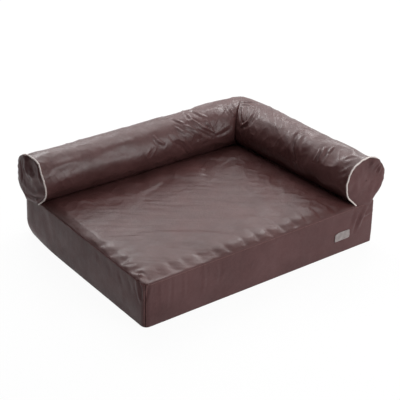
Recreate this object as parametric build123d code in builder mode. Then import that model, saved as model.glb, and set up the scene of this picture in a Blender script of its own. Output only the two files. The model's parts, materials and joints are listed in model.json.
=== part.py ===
from build123d import *
from collections import namedtuple
from math import cos, floor, pi, radians, sin, sqrt
import os

os.makedirs("parts", exist_ok=True)

# Millimetres. The origin is the centre of the mattress's underside.
# +X runs along the mattress to the side bolster, +Y to the back bolster, +Z is up.

# Mattress
mattress_length = 800.0
mattress_width = 630.0
mattress_height = 137.0
near_corner_radius = 18.0
front_right_corner_radius = 9.0
back_left_corner_radius = 45.0
back_right_corner_radius = 24.0
crown_height = 12.0
crown_corner_radius = 30.0
support_foam_height = 92.0

# Cover
cover_thickness = 1.2
fabric_gap = 0.3
patch_length = 55.0
patch_height = 28.0
patch_thickness = 0.8
patch_from_right_side = 118.0
patch_centre_height = 58.5

# Bolsters, each from its free end to the mitred corner that they share
back_bolster_end_inset = 83.0
back_bolster_end_rise = 74.0
back_bolster_end_radius = 65.0
back_bolster_overhang = 5.0
side_bolster_end_inset = 42.0
side_bolster_end_rise = 77.0
side_bolster_end_radius = 64.5
side_bolster_setback = 5.0
corner_from_right = 85.0
corner_from_back = 100.0
corner_rise = 64.0
corner_radius = 66.0
bolster_swell = 2.5
neck_angle = 37.0
seat_sink = 3.0
back_end_puff = 10.0
side_end_puff = 6.0
piping_radius = 2.0

# Zips
mattress_zip_from_corner = 120.0
mattress_zip_height = 46.0
back_bolster_zip_length = 380.0
side_bolster_zip_length = 260.0
tape_width = 7.0
tape_thickness = 0.6
tape_lead = 14.0
tape_tail = 9.0
chain_width = 6.0
chain_thickness = 2.4
tooth_pitch = 3.2
tooth_width = 1.2
tooth_reach = 1.0
spine_width = 1.4
stop_length = 3.0
top_stop_length = 2.2
top_stop_width = 1.6
slider_length = 9.5
slider_wing = 0.9
slider_flange = 0.8
slider_clearance = 0.3
slider_corner_radius = 1.6
post_radius = 0.9
post_from_mouth = 1.5
bail_length = 7.8
bail_width = 2.0
bail_bar = 0.9
pull_length = 26.0
pull_width = 6.4
pull_thickness = 1.2
pull_window_length = 5.2
pull_window_width = 4.0
pull_grip_length = 8.0
pull_grip_width = 4.6
pull_grip_radius = 1.8
channel_margin = 1.2

# How the bolsters and the crown run, as shares of the sizes above
station_shares = (0.0, 0.34, 0.67, 1.0)
puff_shares = ((1.0, 0.0), (0.93, 0.37), (0.76, 0.65), (0.46, 0.89), (0.14, 0.99))
crown_shares = (
    (0.0, 0.0),
    (0.03, 0.28),
    (0.08, 0.55),
    (0.16, 0.75),
    (0.38, 0.89),
    (0.7, 0.97),
    (1.0, 1.0),
)
crown_reach_share = 0.287
crown_round_share = 0.3
zip_middle_share = 0.48

# Sizes that follow from the ones above
up = Vector(0, 0, 1)
foam_inset = cover_thickness + fabric_gap
seat_level = mattress_height - seat_sink
band_seam_reach = mattress_width / 4
mattress_zip_length = mattress_length - 2 * mattress_zip_from_corner
tape_depth = cover_thickness / 2
tape_inner = chain_width / 2
tape_outer = tape_inner + tape_width
chain_top = chain_thickness / 2 - tape_depth
wing_inner = chain_top + slider_clearance
wing_top = wing_inner + slider_wing
lower_wing_top = -tape_depth - chain_thickness / 2 - slider_clearance
lower_wing_bottom = lower_wing_top - slider_wing
slider_half_width = chain_width / 2 + slider_clearance + slider_flange
pivot_height = wing_top + slider_clearance + pull_thickness / 2
bail_underside = pivot_height + pull_thickness / 2 + slider_clearance
post_place = -slider_length / 2 + post_from_mouth
chain_start = post_place + post_radius + slider_clearance
slot_depth = 3 * chain_thickness
channel_depth = -lower_wing_bottom + channel_margin

corner_outward = Vector(1, 1, 0).normalized()
corner_centre = Vector(
    mattress_length / 2 - corner_from_right,
    mattress_width / 2 - corner_from_back,
    mattress_height + corner_rise,
)
Bolster = namedtuple("Bolster", "name end end_radius outward free_way puff")
back_bolster = Bolster(
    "back_bolster",
    Vector(
        -mattress_length / 2 - back_bolster_overhang,
        mattress_width / 2 - back_bolster_end_inset,
        mattress_height + back_bolster_end_rise,
    ),
    back_bolster_end_radius,
    Vector(0, 1, 0),
    Vector(-1, 0, 0),
    back_end_puff,
)
side_bolster = Bolster(
    "side_bolster",
    Vector(
        mattress_length / 2 - side_bolster_end_inset,
        -mattress_width / 2 + side_bolster_setback,
        mattress_height + side_bolster_end_rise,
    ),
    side_bolster_end_radius,
    Vector(1, 0, 0),
    Vector(0, -1, 0),
    side_end_puff,
)


def keep(piece, name):
    """Label a finished piece and write it under its name."""
    piece.part.label = name
    export_step(piece.part, f"parts/{name}.step")


# Mattress outline and walls


def plan_sketch(level, draw_in):
    """The mattress's outline seen from above, drawn in all round."""
    half_length = mattress_length / 2
    half_width = mattress_width / 2
    corners = (
        (-half_length, -half_width, near_corner_radius),
        (half_length, -half_width, front_right_corner_radius),
        (half_length, half_width, back_right_corner_radius),
        (-half_length, half_width, back_left_corner_radius),
    )
    with BuildSketch(Plane.XY.offset(level)) as outline:
        Rectangle(mattress_length - 2 * draw_in, mattress_width - 2 * draw_in)
        for x, y, radius in corners:
            fillet(outline.vertices().sort_by_distance((x, y))[0], radius - draw_in)
    return outline.sketch


def band_region(across, outward):
    """The ground between two corner seams, where one band lies."""
    half_run = across.dot(Vector(mattress_length, mattress_width, 0)) / 2
    half_out = abs(outward.dot(Vector(mattress_length, mattress_width, 0))) / 2
    outer = outward * (half_out + band_seam_reach)
    inner = outward * (half_out - band_seam_reach)
    long_side = across * (half_run + band_seam_reach)
    short_side = across * (half_run - band_seam_reach)
    points = (outer - long_side, outer + long_side, inner + short_side, inner - short_side)
    with BuildSketch() as region:
        Polygon(*[(point.X, point.Y) for point in points], align=None)
    return region.sketch


def band_wall(low, high, across, outward):
    """One side of the cover: the wall between two heights and two corner seams."""
    extrude(plan_sketch(low, 0), amount=high - low)
    extrude(plan_sketch(low, cover_thickness), amount=high - low, mode=Mode.SUBTRACT)
    extrude(band_region(across, outward), amount=high, mode=Mode.INTERSECT)


# Bolster forms


def section_plane(centre, outward):
    """A plane across a bolster, its x outwards and its y up, at the bolster's axis."""
    return Plane(origin=centre, x_dir=outward, z_dir=outward.cross(up))


def foot_of(radius, drop):
    """Half the width on which a section stands, where its necks meet the seat."""
    neck = radians(neck_angle)
    return (radius - drop * sin(neck)) / cos(neck)


def bolster_outline(radius, drop, stretch):
    """A round section with two straight necks that run down to the seat."""
    foot = foot_of(radius, drop) * stretch
    touch = radius * cos(radians(neck_angle)) * stretch
    touch_drop = radius * sin(radians(neck_angle))
    Line((foot, -drop), (touch, -touch_drop))
    bounds = (-neck_angle, 0, 90, 180, 180 + neck_angle)
    for start, end in zip(bounds, bounds[1:]):
        EllipticalCenterArc((0, 0), radius * stretch, radius, start, arc_size=end - start)
    Line((-touch, -touch_drop), (-foot, -drop))


def bolster_section(place, radius, drop, stretch):
    """The closed section of a bolster as a sketch."""
    foot = foot_of(radius, drop) * stretch
    with BuildSketch(place) as section:
        with BuildLine():
            bolster_outline(radius, drop, stretch)
            Line((-foot, -drop), (foot, -drop))
        make_face()
    return section.sketch


def centre_at(bolster, share):
    """The bolster's axis at a share of its run from the free end."""
    return bolster.end + (corner_centre - bolster.end) * share


def radius_at(bolster, share):
    """The bolster's radius there: it grows to the corner and swells between."""
    growth = (corner_radius - bolster.end_radius) * share
    return bolster.end_radius + growth + bolster_swell * sin(pi * share)


def loft_bolster(bolster, draw_in, mode):
    """The bolster from its free end to the mitre, drawn in all round."""
    sections = []
    for share in station_shares:
        centre = centre_at(bolster, share)
        at_mitre = share == station_shares[-1]
        outward = corner_outward if at_mitre else bolster.outward
        stretch = sqrt(2) if at_mitre else 1
        section = bolster_section(
            section_plane(centre, outward),
            radius_at(bolster, share) - draw_in,
            centre.Z - seat_level - draw_in,
            stretch,
        )
        sections.append(section)
    loft(sections, mode=mode)


def loft_puff(bolster, draw_in, mode):
    """The puffed end of a bolster, out from the plane of its free end."""
    radius = bolster.end_radius - draw_in
    drop = bolster.end.Z - seat_level - draw_in
    sections = []
    for size_share, height_share in puff_shares:
        height = (bolster.puff - draw_in) * height_share
        place = section_plane(bolster.end + bolster.free_way * height, bolster.outward)
        sections.append(bolster_section(place, radius * size_share, drop * size_share, 1))
    loft(sections, mode=mode)


# The crown, which swells between the open edges and the bolsters' inner feet


def crown_corners():
    """The four corners of the crowned field, from the near corner round to the left."""
    side_foot = foot_of(side_bolster.end_radius, side_bolster.end.Z - seat_level)
    back_foot = foot_of(back_bolster.end_radius, back_bolster.end.Z - seat_level)
    mitre_foot = foot_of(corner_radius, corner_centre.Z - seat_level) * sqrt(2)
    near = Vector(cover_thickness - mattress_length / 2, cover_thickness - mattress_width / 2)
    inner = corner_centre - corner_outward * mitre_foot
    return (
        near,
        Vector(side_bolster.end.X - side_foot, near.Y),
        Vector(inner.X, inner.Y),
        Vector(near.X, back_bolster.end.Y - back_foot),
    )


def loft_crown(level, draw_in, mode):
    """The crown above a level, its field drawn in all round."""
    corners = crown_corners()
    crown_reach = (corners[-1].Y - corners[0].Y) * crown_reach_share
    sections = []
    for reach_share, height_share in crown_shares:
        inset = crown_reach * reach_share
        with BuildSketch(Plane.XY.offset(level + crown_height * height_share)) as section:
            Polygon(*[(corner.X, corner.Y) for corner in corners], align=None)
            if draw_in + inset > 0:
                offset(amount=-draw_in - inset, kind=Kind.INTERSECTION)
            for index, corner in enumerate(corners):
                radius = crown_corner_radius if index else near_corner_radius - draw_in
                vertex = section.vertices().sort_by_distance((corner.X, corner.Y))[0]
                fillet(vertex, radius + inset * crown_round_share)
        sections.append(section.sketch)
    loft(sections, ruled=True, mode=mode)


# Zips


Zip = namedtuple("Zip", "name place length")


def bolster_zip_place(bolster, length):
    """The plane of a bolster's zip, at its closed end, on the outermost line."""
    middle = centre_at(bolster, zip_middle_share)
    run = corner_centre - bolster.end
    growth = (corner_radius - bolster.end_radius) * bolster.outward
    line = (run + growth).normalized()
    surface = middle + bolster.outward * radius_at(bolster, zip_middle_share)
    way = line if bolster is side_bolster else -line
    return Plane(
        origin=surface - way * (length / 2), x_dir=way, z_dir=way.cross(up)
    )


zips = (
    Zip(
        "mattress",
        Plane(
            origin=(mattress_zip_length / 2, mattress_width / 2, mattress_zip_height),
            x_dir=(-1, 0, 0),
            z_dir=(0, 1, 0),
        ),
        mattress_zip_length,
    ),
    Zip(
        "back_bolster",
        bolster_zip_place(back_bolster, back_bolster_zip_length),
        back_bolster_zip_length,
    ),
    Zip(
        "side_bolster",
        bolster_zip_place(side_bolster, side_bolster_zip_length),
        side_bolster_zip_length,
    ),
)


def block(place, low_x, high_x, low_y, high_y, low_z, high_z, mode=Mode.ADD):
    """A straight block between two corners given in a zip's own plane."""
    with BuildSketch(place.offset(low_z)) as base:
        with Locations(((low_x + high_x) / 2, (low_y + high_y) / 2)):
            Rectangle(high_x - low_x, high_y - low_y)
    extrude(base.sketch, amount=high_z - low_z, mode=mode)


def cut_zip_slot(zip_):
    """The slot in the cover that a zip's tapes fill."""
    block(
        zip_.place,
        -tape_lead,
        zip_.length + tape_tail,
        -tape_outer,
        tape_outer,
        -slot_depth,
        slot_depth,
        Mode.SUBTRACT,
    )


def cut_zip_channel(zip_):
    """The hollow in the filling in which the slider's inner wing runs."""
    half_width = slider_half_width + channel_margin
    block(
        zip_.place,
        -tape_lead,
        zip_.length + tape_tail,
        -half_width,
        half_width,
        -channel_depth,
        slot_depth,
        Mode.SUBTRACT,
    )


def make_tapes(zip_):
    """The two tapes, flush in the cover's slot."""
    sides = (("upper", tape_inner, tape_outer), ("lower", -tape_outer, -tape_inner))
    for side, low_y, high_y in sides:
        with BuildPart() as tape:
            block(
                zip_.place,
                -tape_lead,
                zip_.length + tape_tail,
                low_y,
                high_y,
                -tape_depth - tape_thickness / 2,
                -tape_depth + tape_thickness / 2,
            )
        keep(tape, f"{zip_.name}_zip_tape_{side}")


def make_teeth(zip_):
    """The two rows of teeth, meshed along the whole chain."""
    count = floor((zip_.length - chain_start) / tooth_pitch) - 1
    spine_inner = chain_width / 2 - spine_width
    for side, way, lag in (("upper", 1, 0), ("lower", -1, tooth_pitch / 2)):
        points = [(chain_start, spine_inner * way)]
        for tooth in range(count):
            near = chain_start + lag + tooth_pitch * tooth + (tooth_pitch / 2 - tooth_width) / 2
            far = near + tooth_width
            points += [
                (near, spine_inner * way),
                (near, -tooth_reach * way),
                (far, -tooth_reach * way),
                (far, spine_inner * way),
            ]
        points += [
            (zip_.length, spine_inner * way),
            (zip_.length, chain_width / 2 * way),
            (chain_start, chain_width / 2 * way),
        ]
        with BuildPart() as teeth:
            with BuildSketch(zip_.place.offset(-tape_depth - chain_thickness / 2)):
                with BuildLine():
                    Polyline(*points, close=True)
                make_face()
            extrude(amount=chain_thickness)
        keep(teeth, f"{zip_.name}_zip_teeth_{side}")


def make_stops(zip_):
    """The bottom stop across the chain's end and the two top stops."""
    low_z = -tape_depth - chain_thickness / 2
    high_z = -tape_depth + chain_thickness / 2
    with BuildPart() as bottom_stop:
        block(
            zip_.place,
            zip_.length,
            zip_.length + stop_length,
            -tape_inner,
            tape_inner,
            low_z,
            high_z,
        )
    keep(bottom_stop, f"{zip_.name}_zip_bottom_stop")
    high_x = -slider_length / 2 - slider_clearance
    with BuildPart() as top_stops:
        for way in (-1, 1):
            edges = sorted((way * tape_inner, way * (tape_inner - top_stop_width)))
            block(
                zip_.place,
                high_x - top_stop_length,
                high_x,
                edges[0],
                edges[1],
                low_z,
                high_z,
            )
    keep(top_stops, f"{zip_.name}_zip_top_stops")


def wing_sketch(place):
    """The slider's outline, rounded at its corners."""
    with BuildSketch(place) as outline:
        RectangleRounded(slider_length, 2 * slider_half_width, slider_corner_radius)
    return outline.sketch


def make_slider(zip_):
    """Two wings on a post, flanges that hold the chain, and the bail on top."""
    half_length = slider_length / 2
    flange_inner = slider_half_width - slider_flange
    tape_top = -tape_depth + tape_thickness / 2 + slider_clearance
    tape_bottom = -tape_depth - tape_thickness / 2 - slider_clearance
    with BuildPart() as slider:
        extrude(wing_sketch(zip_.place.offset(tape_top)), amount=wing_top - tape_top)
        lower_wing = wing_sketch(zip_.place.offset(lower_wing_bottom))
        extrude(lower_wing, amount=tape_bottom - lower_wing_bottom)
        block(
            zip_.place,
            -half_length,
            half_length,
            -flange_inner,
            flange_inner,
            lower_wing_top,
            wing_inner,
            Mode.SUBTRACT,
        )
        with BuildSketch(zip_.place.offset(lower_wing_top)):
            with Locations((post_place, 0)):
                Circle(post_radius)
        extrude(amount=wing_inner - lower_wing_top)
        block(
            zip_.place,
            -bail_length / 2,
            bail_length / 2,
            -bail_width / 2,
            bail_width / 2,
            wing_top,
            bail_underside + bail_bar,
        )
        block(
            zip_.place,
            -bail_length / 2 + bail_bar,
            bail_length / 2 - bail_bar,
            -bail_width / 2,
            bail_width / 2,
            wing_top,
            bail_underside,
            Mode.SUBTRACT,
        )
    keep(slider, f"{zip_.name}_zip_slider")


def make_pull(zip_):
    """The pull: an eye round the bail and a flat grip that lies along the chain."""
    half_width = pull_width / 2
    grip_start = pull_window_length + pull_thickness
    half_grip = pull_grip_width / 2
    pivot = zip_.place.offset(pivot_height)
    bar_start = pivot.from_local_coords((0, -half_width, 0))
    with BuildPart() as pull:
        with BuildSketch(pivot.offset(-pull_thickness / 2)):
            with BuildLine():
                Polyline(
                    (0, -half_width),
                    (grip_start, -half_width),
                    (grip_start + pull_thickness, -half_grip),
                    (pull_length - pull_grip_length, -half_grip),
                    (pull_length - pull_grip_length / 2, -half_width),
                    (pull_length, -half_width),
                    (pull_length, half_width),
                    (pull_length - pull_grip_length / 2, half_width),
                    (pull_length - pull_grip_length, half_grip),
                    (grip_start + pull_thickness, half_grip),
                    (grip_start, half_width),
                    (0, half_width),
                    close=True,
                )
            grip = make_face()
            fillet(grip.vertices().group_by(Axis.X)[-1], pull_grip_radius)
            with Locations(((pull_thickness / 2 + pull_window_length) / 2, 0)):
                Rectangle(
                    pull_window_length - pull_thickness / 2,
                    pull_window_width,
                    mode=Mode.SUBTRACT,
                )
        extrude(amount=pull_thickness)
        with BuildSketch(Plane(origin=bar_start, x_dir=pivot.x_dir, z_dir=pivot.y_dir)):
            Circle(pull_thickness / 2)
        extrude(amount=pull_width)
    keep(pull, f"{zip_.name}_zip_pull")


# The mattress's filling

with BuildPart() as foam_support_core:
    extrude(plan_sketch(cover_thickness, foam_inset), amount=support_foam_height)
    cut_zip_channel(zips[0])
keep(foam_support_core, "foam_support_core")

with BuildPart() as foam_memory_layer:
    core_top = cover_thickness + support_foam_height
    layer_top = mattress_height - foam_inset
    extrude(plan_sketch(core_top, foam_inset), amount=layer_top - core_top)
    loft_crown(layer_top, fabric_gap, Mode.ADD)
keep(foam_memory_layer, "foam_memory_layer")

# The mattress's cover

with BuildPart() as top_panel:
    extrude(plan_sketch(mattress_height - cover_thickness, 0), amount=cover_thickness)
    loft_crown(mattress_height, 0, Mode.ADD)
    loft_crown(mattress_height - cover_thickness, 0, Mode.SUBTRACT)
keep(top_panel, "top_panel")

with BuildPart() as base_panel:
    extrude(plan_sketch(0, 0), amount=cover_thickness)
keep(base_panel, "base_panel")

band_top = mattress_height - cover_thickness
bands = (
    ("front_band", cover_thickness, band_top, Vector(1, 0, 0), Vector(0, -1, 0)),
    ("left_band", cover_thickness, band_top, Vector(0, 1, 0), Vector(-1, 0, 0)),
    ("right_band", cover_thickness, band_top, Vector(0, 1, 0), Vector(1, 0, 0)),
    ("back_band_lower", cover_thickness, mattress_zip_height, Vector(1, 0, 0), Vector(0, 1, 0)),
    ("back_band_upper", mattress_zip_height, band_top, Vector(1, 0, 0), Vector(0, 1, 0)),
)
for name, low, high, across, outward in bands:
    with BuildPart() as band:
        band_wall(low, high, across, outward)
        if outward.Y > 0:
            cut_zip_slot(zips[0])
    keep(band, name)

with BuildPart() as label_patch:
    with BuildSketch(Plane.XZ.offset(mattress_width / 2)):
        with Locations((mattress_length / 2 - patch_from_right_side, patch_centre_height)):
            Rectangle(patch_length, patch_height)
    extrude(amount=patch_thickness)
keep(label_patch, "label_patch")

# All that lies below the bolsters, which stand at the foot of the crown

with BuildPart() as bed_below:
    with BuildSketch():
        Rectangle(mattress_length + 2 * corner_from_right, mattress_width + 2 * corner_from_back)
    extrude(amount=mattress_height)
    loft_crown(mattress_height, 0, Mode.ADD)


def cut_to_seat(gap):
    """Cut a bolster's piece off just above the top panel that it is sewn to."""
    with Locations((0, 0, gap)):
        add(bed_below.part, mode=Mode.SUBTRACT)


# Bolsters

for bolster, zip_ in ((back_bolster, zips[1]), (side_bolster, zips[2])):
    with BuildPart() as cover:
        loft_bolster(bolster, 0, Mode.ADD)
        loft_bolster(bolster, cover_thickness, Mode.SUBTRACT)
        cut_to_seat(fabric_gap)
        cut_zip_slot(zip_)
    keep(cover, f"{bolster.name}_cover")

    with BuildPart() as end_panel:
        loft_puff(bolster, 0, Mode.ADD)
        loft_puff(bolster, cover_thickness, Mode.SUBTRACT)
        cut_to_seat(fabric_gap)
    keep(end_panel, f"{bolster.name}_end_panel")

    with BuildPart() as cushion:
        loft_bolster(bolster, foam_inset, Mode.ADD)
        loft_puff(bolster, foam_inset, Mode.ADD)
        cut_to_seat(fabric_gap)
        cut_zip_channel(zip_)
    keep(cushion, f"{bolster.name}_cushion")

    with BuildPart() as piping:
        with BuildLine(section_plane(bolster.end, bolster.outward)) as seam:
            bolster_outline(
                bolster.end_radius + piping_radius + fabric_gap,
                bolster.end.Z - seat_level,
                1,
            )
        with BuildSketch(Plane(origin=seam.line @ 0, z_dir=seam.line % 0)):
            Circle(piping_radius)
        sweep(path=seam.line)
        cut_to_seat(fabric_gap)
    keep(piping, f"{bolster.name}_piping")

# Zips

for zip_ in zips:
    make_tapes(zip_)
    make_teeth(zip_)
    make_stops(zip_)
    make_slider(zip_)
    make_pull(zip_)
    pivot = zip_.place.offset(pivot_height)
    travel = zip_.length - slider_length / 2 - slider_clearance
    print(zip_.name, "slides along", zip_.place.x_dir, "for", round(travel, 2), "mm")
    print(zip_.name, "pull turns about", pivot.y_dir * -1, "through", pivot.origin)
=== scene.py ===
import bpy
import json
import math
from collections import namedtuple
import numpy as np
from mathutils import Matrix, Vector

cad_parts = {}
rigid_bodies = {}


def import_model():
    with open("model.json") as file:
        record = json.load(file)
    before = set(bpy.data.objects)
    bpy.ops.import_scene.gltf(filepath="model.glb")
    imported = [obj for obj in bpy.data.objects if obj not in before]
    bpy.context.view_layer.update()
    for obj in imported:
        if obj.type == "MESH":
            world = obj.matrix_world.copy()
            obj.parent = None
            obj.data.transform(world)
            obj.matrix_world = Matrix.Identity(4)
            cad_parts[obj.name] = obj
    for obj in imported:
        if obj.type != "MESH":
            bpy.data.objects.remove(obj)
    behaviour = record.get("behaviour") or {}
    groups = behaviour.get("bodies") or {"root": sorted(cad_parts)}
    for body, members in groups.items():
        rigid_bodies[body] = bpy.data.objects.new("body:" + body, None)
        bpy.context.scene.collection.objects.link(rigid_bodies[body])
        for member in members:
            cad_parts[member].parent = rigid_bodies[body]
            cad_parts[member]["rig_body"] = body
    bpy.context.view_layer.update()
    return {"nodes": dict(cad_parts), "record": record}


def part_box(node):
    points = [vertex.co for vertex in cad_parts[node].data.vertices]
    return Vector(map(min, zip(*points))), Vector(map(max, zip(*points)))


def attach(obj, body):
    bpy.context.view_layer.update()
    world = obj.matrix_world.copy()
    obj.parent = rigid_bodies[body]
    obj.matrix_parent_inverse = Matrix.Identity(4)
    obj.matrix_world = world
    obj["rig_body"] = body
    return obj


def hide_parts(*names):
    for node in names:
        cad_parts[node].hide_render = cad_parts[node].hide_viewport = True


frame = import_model()

# Lengths are in millimetres until a mesh is made, and pixels are the photograph's, 400 across.
MM = 0.001
UP = np.array((0.0, 0.0, 1.0))
TINY = 1e-9

# The camera, as fitted to the photograph
PICTURE = 400
FOCAL_PIXELS = 1567.147
SENSOR = 36.0
CAMERA_PLACE = np.array((-2350.8, -3122.9, 2357.1))
CAMERA_RIGHT = np.array((0.80488, -0.59303, 0.02173))
CAMERA_UP = np.array((0.27991, 0.41167, 0.86728))
CAMERA_BACK = np.array((-0.52327, -0.69198, 0.49735))


def node_box(name):
    """A node's lowest and highest corner, in millimetres."""
    low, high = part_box(name)
    return np.array(low) / MM, np.array(high) / MM


# Sizes taken from the frame
base_low, base_high = node_box("base_panel")
half_length = base_high[0]
half_width = base_high[1]
cover_thickness = base_high[2] - base_low[2]
seam_height = node_box("left_band")[1][2] + cover_thickness
crown_height = node_box("top_panel")[1][2] - seam_height

# Sizes that the frame's boxes don't give, as the construction has them
NEAR_CORNER = 18.0
FRONT_RIGHT_CORNER = 9.0
BACK_RIGHT_CORNER = 24.0
BACK_LEFT_CORNER = 45.0
CORNER_FROM_RIGHT = 85.0
CORNER_FROM_BACK = 100.0
CORNER_RISE = 64.0
CORNER_RADIUS = 66.0
NECK_ANGLE = math.radians(37)
SEAT_SINK = 3.0
BOLSTER_SWELL = 2.5
BACK_PUFF = 10.0
SIDE_PUFF = 6.0
PIPING_RADIUS = 2.0
PIPING_GAP = 0.3
PIPING_REACH = 2 * PIPING_RADIUS + PIPING_GAP
CROWN_REACH = 150.0
FIRST_TURN = -NECK_ANGLE
LAST_TURN = math.pi + NECK_ANGLE

# Sizes of the looks alone
LEATHER = 1.2
BASE_CLOTH = 0.8
PATCH_CLOTH = 0.8
PIPING_PLUMP = 1.12
PUCKER_DRAW = 0.36
LOW_CORNER_TUCK = 16.0
SEAM_TUCK = 2.4
ZIP_SINK = 3.0
ROLL_ZIP_SINK = 6.6
FILL_INSET = 9.0
FILL_ABOVE_SEAT = 16.0
FOAM_INSET = 6.0
FOAM_GAP = 0.4
PATCH_ACROSS = -1.5
PATCH_UP = 0.8
CREASE_WIDTH = 0.85
CREASE_HEIGHT = 1.5
LEAST_HEIGHT = 0.3

# Steps and counts of the grids
TOP_STEP = 3.6
BAND_STEP = 3.4
BAND_EDGES = (0.0, 0.8, 1.8, 3.2, 5.5)
ROLL_STEP = 2.8
ROLL_EDGES = (0.0, 0.8, 1.8, 3.2)
ROUND_STEP = math.radians(2.0)
NECK_SPAN = 0.5
END_RINGS = 34
PIPING_SIDES = 12
FILL_STEP = 14.0
FOAM_ROWS = 64
FOAM_COLUMNS = 80

# How far round and along the sleeves lie still at their zips
ZIP_HELD = 26.0
ZIP_MARGIN = 18.0

# Sewing thread, with the places of a stitch's rings along its pitch and how far they rise
STITCH_PITCH = 5.2
STITCH_THREAD = 0.35
STITCH_SIDES = 5
STITCH_PLACES = np.array((0.12, 0.28, 0.5, 0.72, 0.88))
STITCH_RISES = np.array((-0.6, 0.1, 0.3, 0.1, -0.6))[:, None] * STITCH_THREAD
ZIP_STITCHES_OFF = 13.5

# Slack that the cloth simulation settles
CLOTH_FRAMES = 20
TOP_GROWTH = 0.008
TOP_PRESSURE = 0.05
TOP_CAP = 1.2
ROLL_GROWTH = 0.02
ROLL_PRESSURE = 0.2
ROLL_CAP = 4.0

# Floor and light, in metres where they are lengths
FLOOR_HALF = 9.0
FLOOR_LEVEL = -0.0006
FLOOR_GLOW = 1.05
FLOOR_WHITE = 0.9
STUDIO_LIGHT = 0.28
LAMP_AIM = np.array((0.0, 0.0, 0.1))

seat_level = seam_height - SEAT_SINK
corner_centre = np.array(
    (half_length - CORNER_FROM_RIGHT, half_width - CORNER_FROM_BACK, seam_height + CORNER_RISE)
)

Bolster = namedtuple("Bolster", "name end radius outward along run puff zip")


def find_bolster(name, outward, along, puff):
    """A bolster's free end and radius, read from the box of the piping round it."""
    outward, along = np.array(outward, float), np.array(along, float)
    low, high = node_box(f"{name}_piping")
    radius = (high - low).dot(outward) / 2 - PIPING_REACH
    centre = (low + high) / 2
    centre[2] = high[2] - PIPING_REACH - radius
    run = np.linalg.norm((corner_centre - centre)[:2])
    ends = sorted(corner.dot(along) for corner in node_box(f"{name}_zip_tape_upper"))
    return Bolster(name, centre, radius, outward, along, run, puff, ends)


back_bolster = find_bolster("back_bolster", (0, 1, 0), (1, 0, 0), BACK_PUFF)
side_bolster = find_bolster("side_bolster", (1, 0, 0), (0, 1, 0), SIDE_PUFF)
bolsters = (back_bolster, side_bolster)


# Noise and curves


def ease(share):
    """A smooth step from 0 to 1."""
    share = np.clip(share, 0, 1)
    return share * share * (3 - 2 * share)


def within(value, low, high, margin, soft):
    """0 outside two values widened by a margin, and a smooth step up to 1 inside both ends."""
    return ease((value - low + margin) / soft) * ease((high + margin - value) / soft)


def bell(off, width):
    """A bell curve, 1 in its middle."""
    return np.exp(-((off / width) ** 2))


def unit(vectors):
    """Vectors brought to length 1."""
    return vectors / np.maximum(np.linalg.norm(vectors, axis=-1, keepdims=True), TINY)


def passed_along(path):
    """The length of a path up to each of its points."""
    return np.concatenate([[0], np.cumsum(np.linalg.norm(np.diff(path, axis=0), axis=1))])


def noise(across, along, seed):
    """Smooth random values from -1 to 1 over a plane, with one lattice step to a unit."""
    side = 256
    lattice = np.random.default_rng(seed).uniform(-1, 1, (side, side))
    across, along = np.broadcast_arrays(np.asarray(across, float), np.asarray(along, float))
    low_a, low_b = np.floor(across).astype(int), np.floor(along).astype(int)
    share_a, share_b = ease(across - low_a), ease(along - low_b)
    near = lattice[low_a % side, low_b % side]
    right = lattice[(low_a + 1) % side, low_b % side]
    above = lattice[low_a % side, (low_b + 1) % side]
    far = lattice[(low_a + 1) % side, (low_b + 1) % side]
    bottom = near + (right - near) * share_a
    top = above + (far - above) * share_a
    return bottom + (top - bottom) * share_b


def rough(across, along, seed):
    """Noise in two sizes, the second half as large and half as high."""
    return noise(across, along, seed) + noise(across * 2, along * 2, seed + 1) / 2


def smooth_table(table, at):
    """A curve through a table's points, without corners, and level beyond its ends."""
    table = np.asarray(table, float)
    xs, ys = table[:, 0], table[:, 1]
    slopes = np.gradient(ys, xs)
    at = np.clip(at, xs[0], xs[-1])
    index = np.clip(np.searchsorted(xs, at, side="right") - 1, 0, len(xs) - 2)
    width = xs[index + 1] - xs[index]
    t = (at - xs[index]) / width
    return (
        ys[index] * (1 + 2 * t) * (1 - t) ** 2
        + slopes[index] * width * t * (1 - t) ** 2
        + ys[index + 1] * t**2 * (3 - 2 * t)
        + slopes[index + 1] * width * t**2 * (t - 1)
    )


def spaced(length, step, edges):
    """Places from 0 to length: the given ones from each end, and even steps between."""
    edges = np.asarray(edges, float)
    count = max(1, round((length - 2 * edges[-1]) / step))
    middle = np.linspace(edges[-1], length - edges[-1], count + 1)
    return np.concatenate([edges[:-1], middle, length - edges[-2::-1]])


# Pixels and surfaces


def to_pixels(points):
    """The photograph's pixels where points are seen."""
    from_camera = points - CAMERA_PLACE
    depth = -from_camera @ CAMERA_BACK
    across = PICTURE / 2 + FOCAL_PIXELS * (from_camera @ CAMERA_RIGHT) / depth
    down = PICTURE / 2 - FOCAL_PIXELS * (from_camera @ CAMERA_UP) / depth
    return across, down


def grid_normals(points):
    """Unit normals of a grid of points."""
    return unit(np.cross(np.gradient(points, axis=0), np.gradient(points, axis=1)))


def path_distance(points, path):
    """Each point's distance from a path, and the share along it."""
    best = np.full(points.shape[:2], np.inf)
    share = np.zeros_like(best)
    before = passed_along(path)
    for start, end, passed, length in zip(path, path[1:], before, np.diff(before)):
        if length > TINY:
            way = (end - start) / length
            along = np.clip((points - start) @ way, 0, length)
            off = np.linalg.norm(points - start - along[:, :, None] * way, axis=2)
            closer = off < best
            best = np.where(closer, off, best)
            share = np.where(closer, (passed + along) / before[-1], share)
    return best, share


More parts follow.
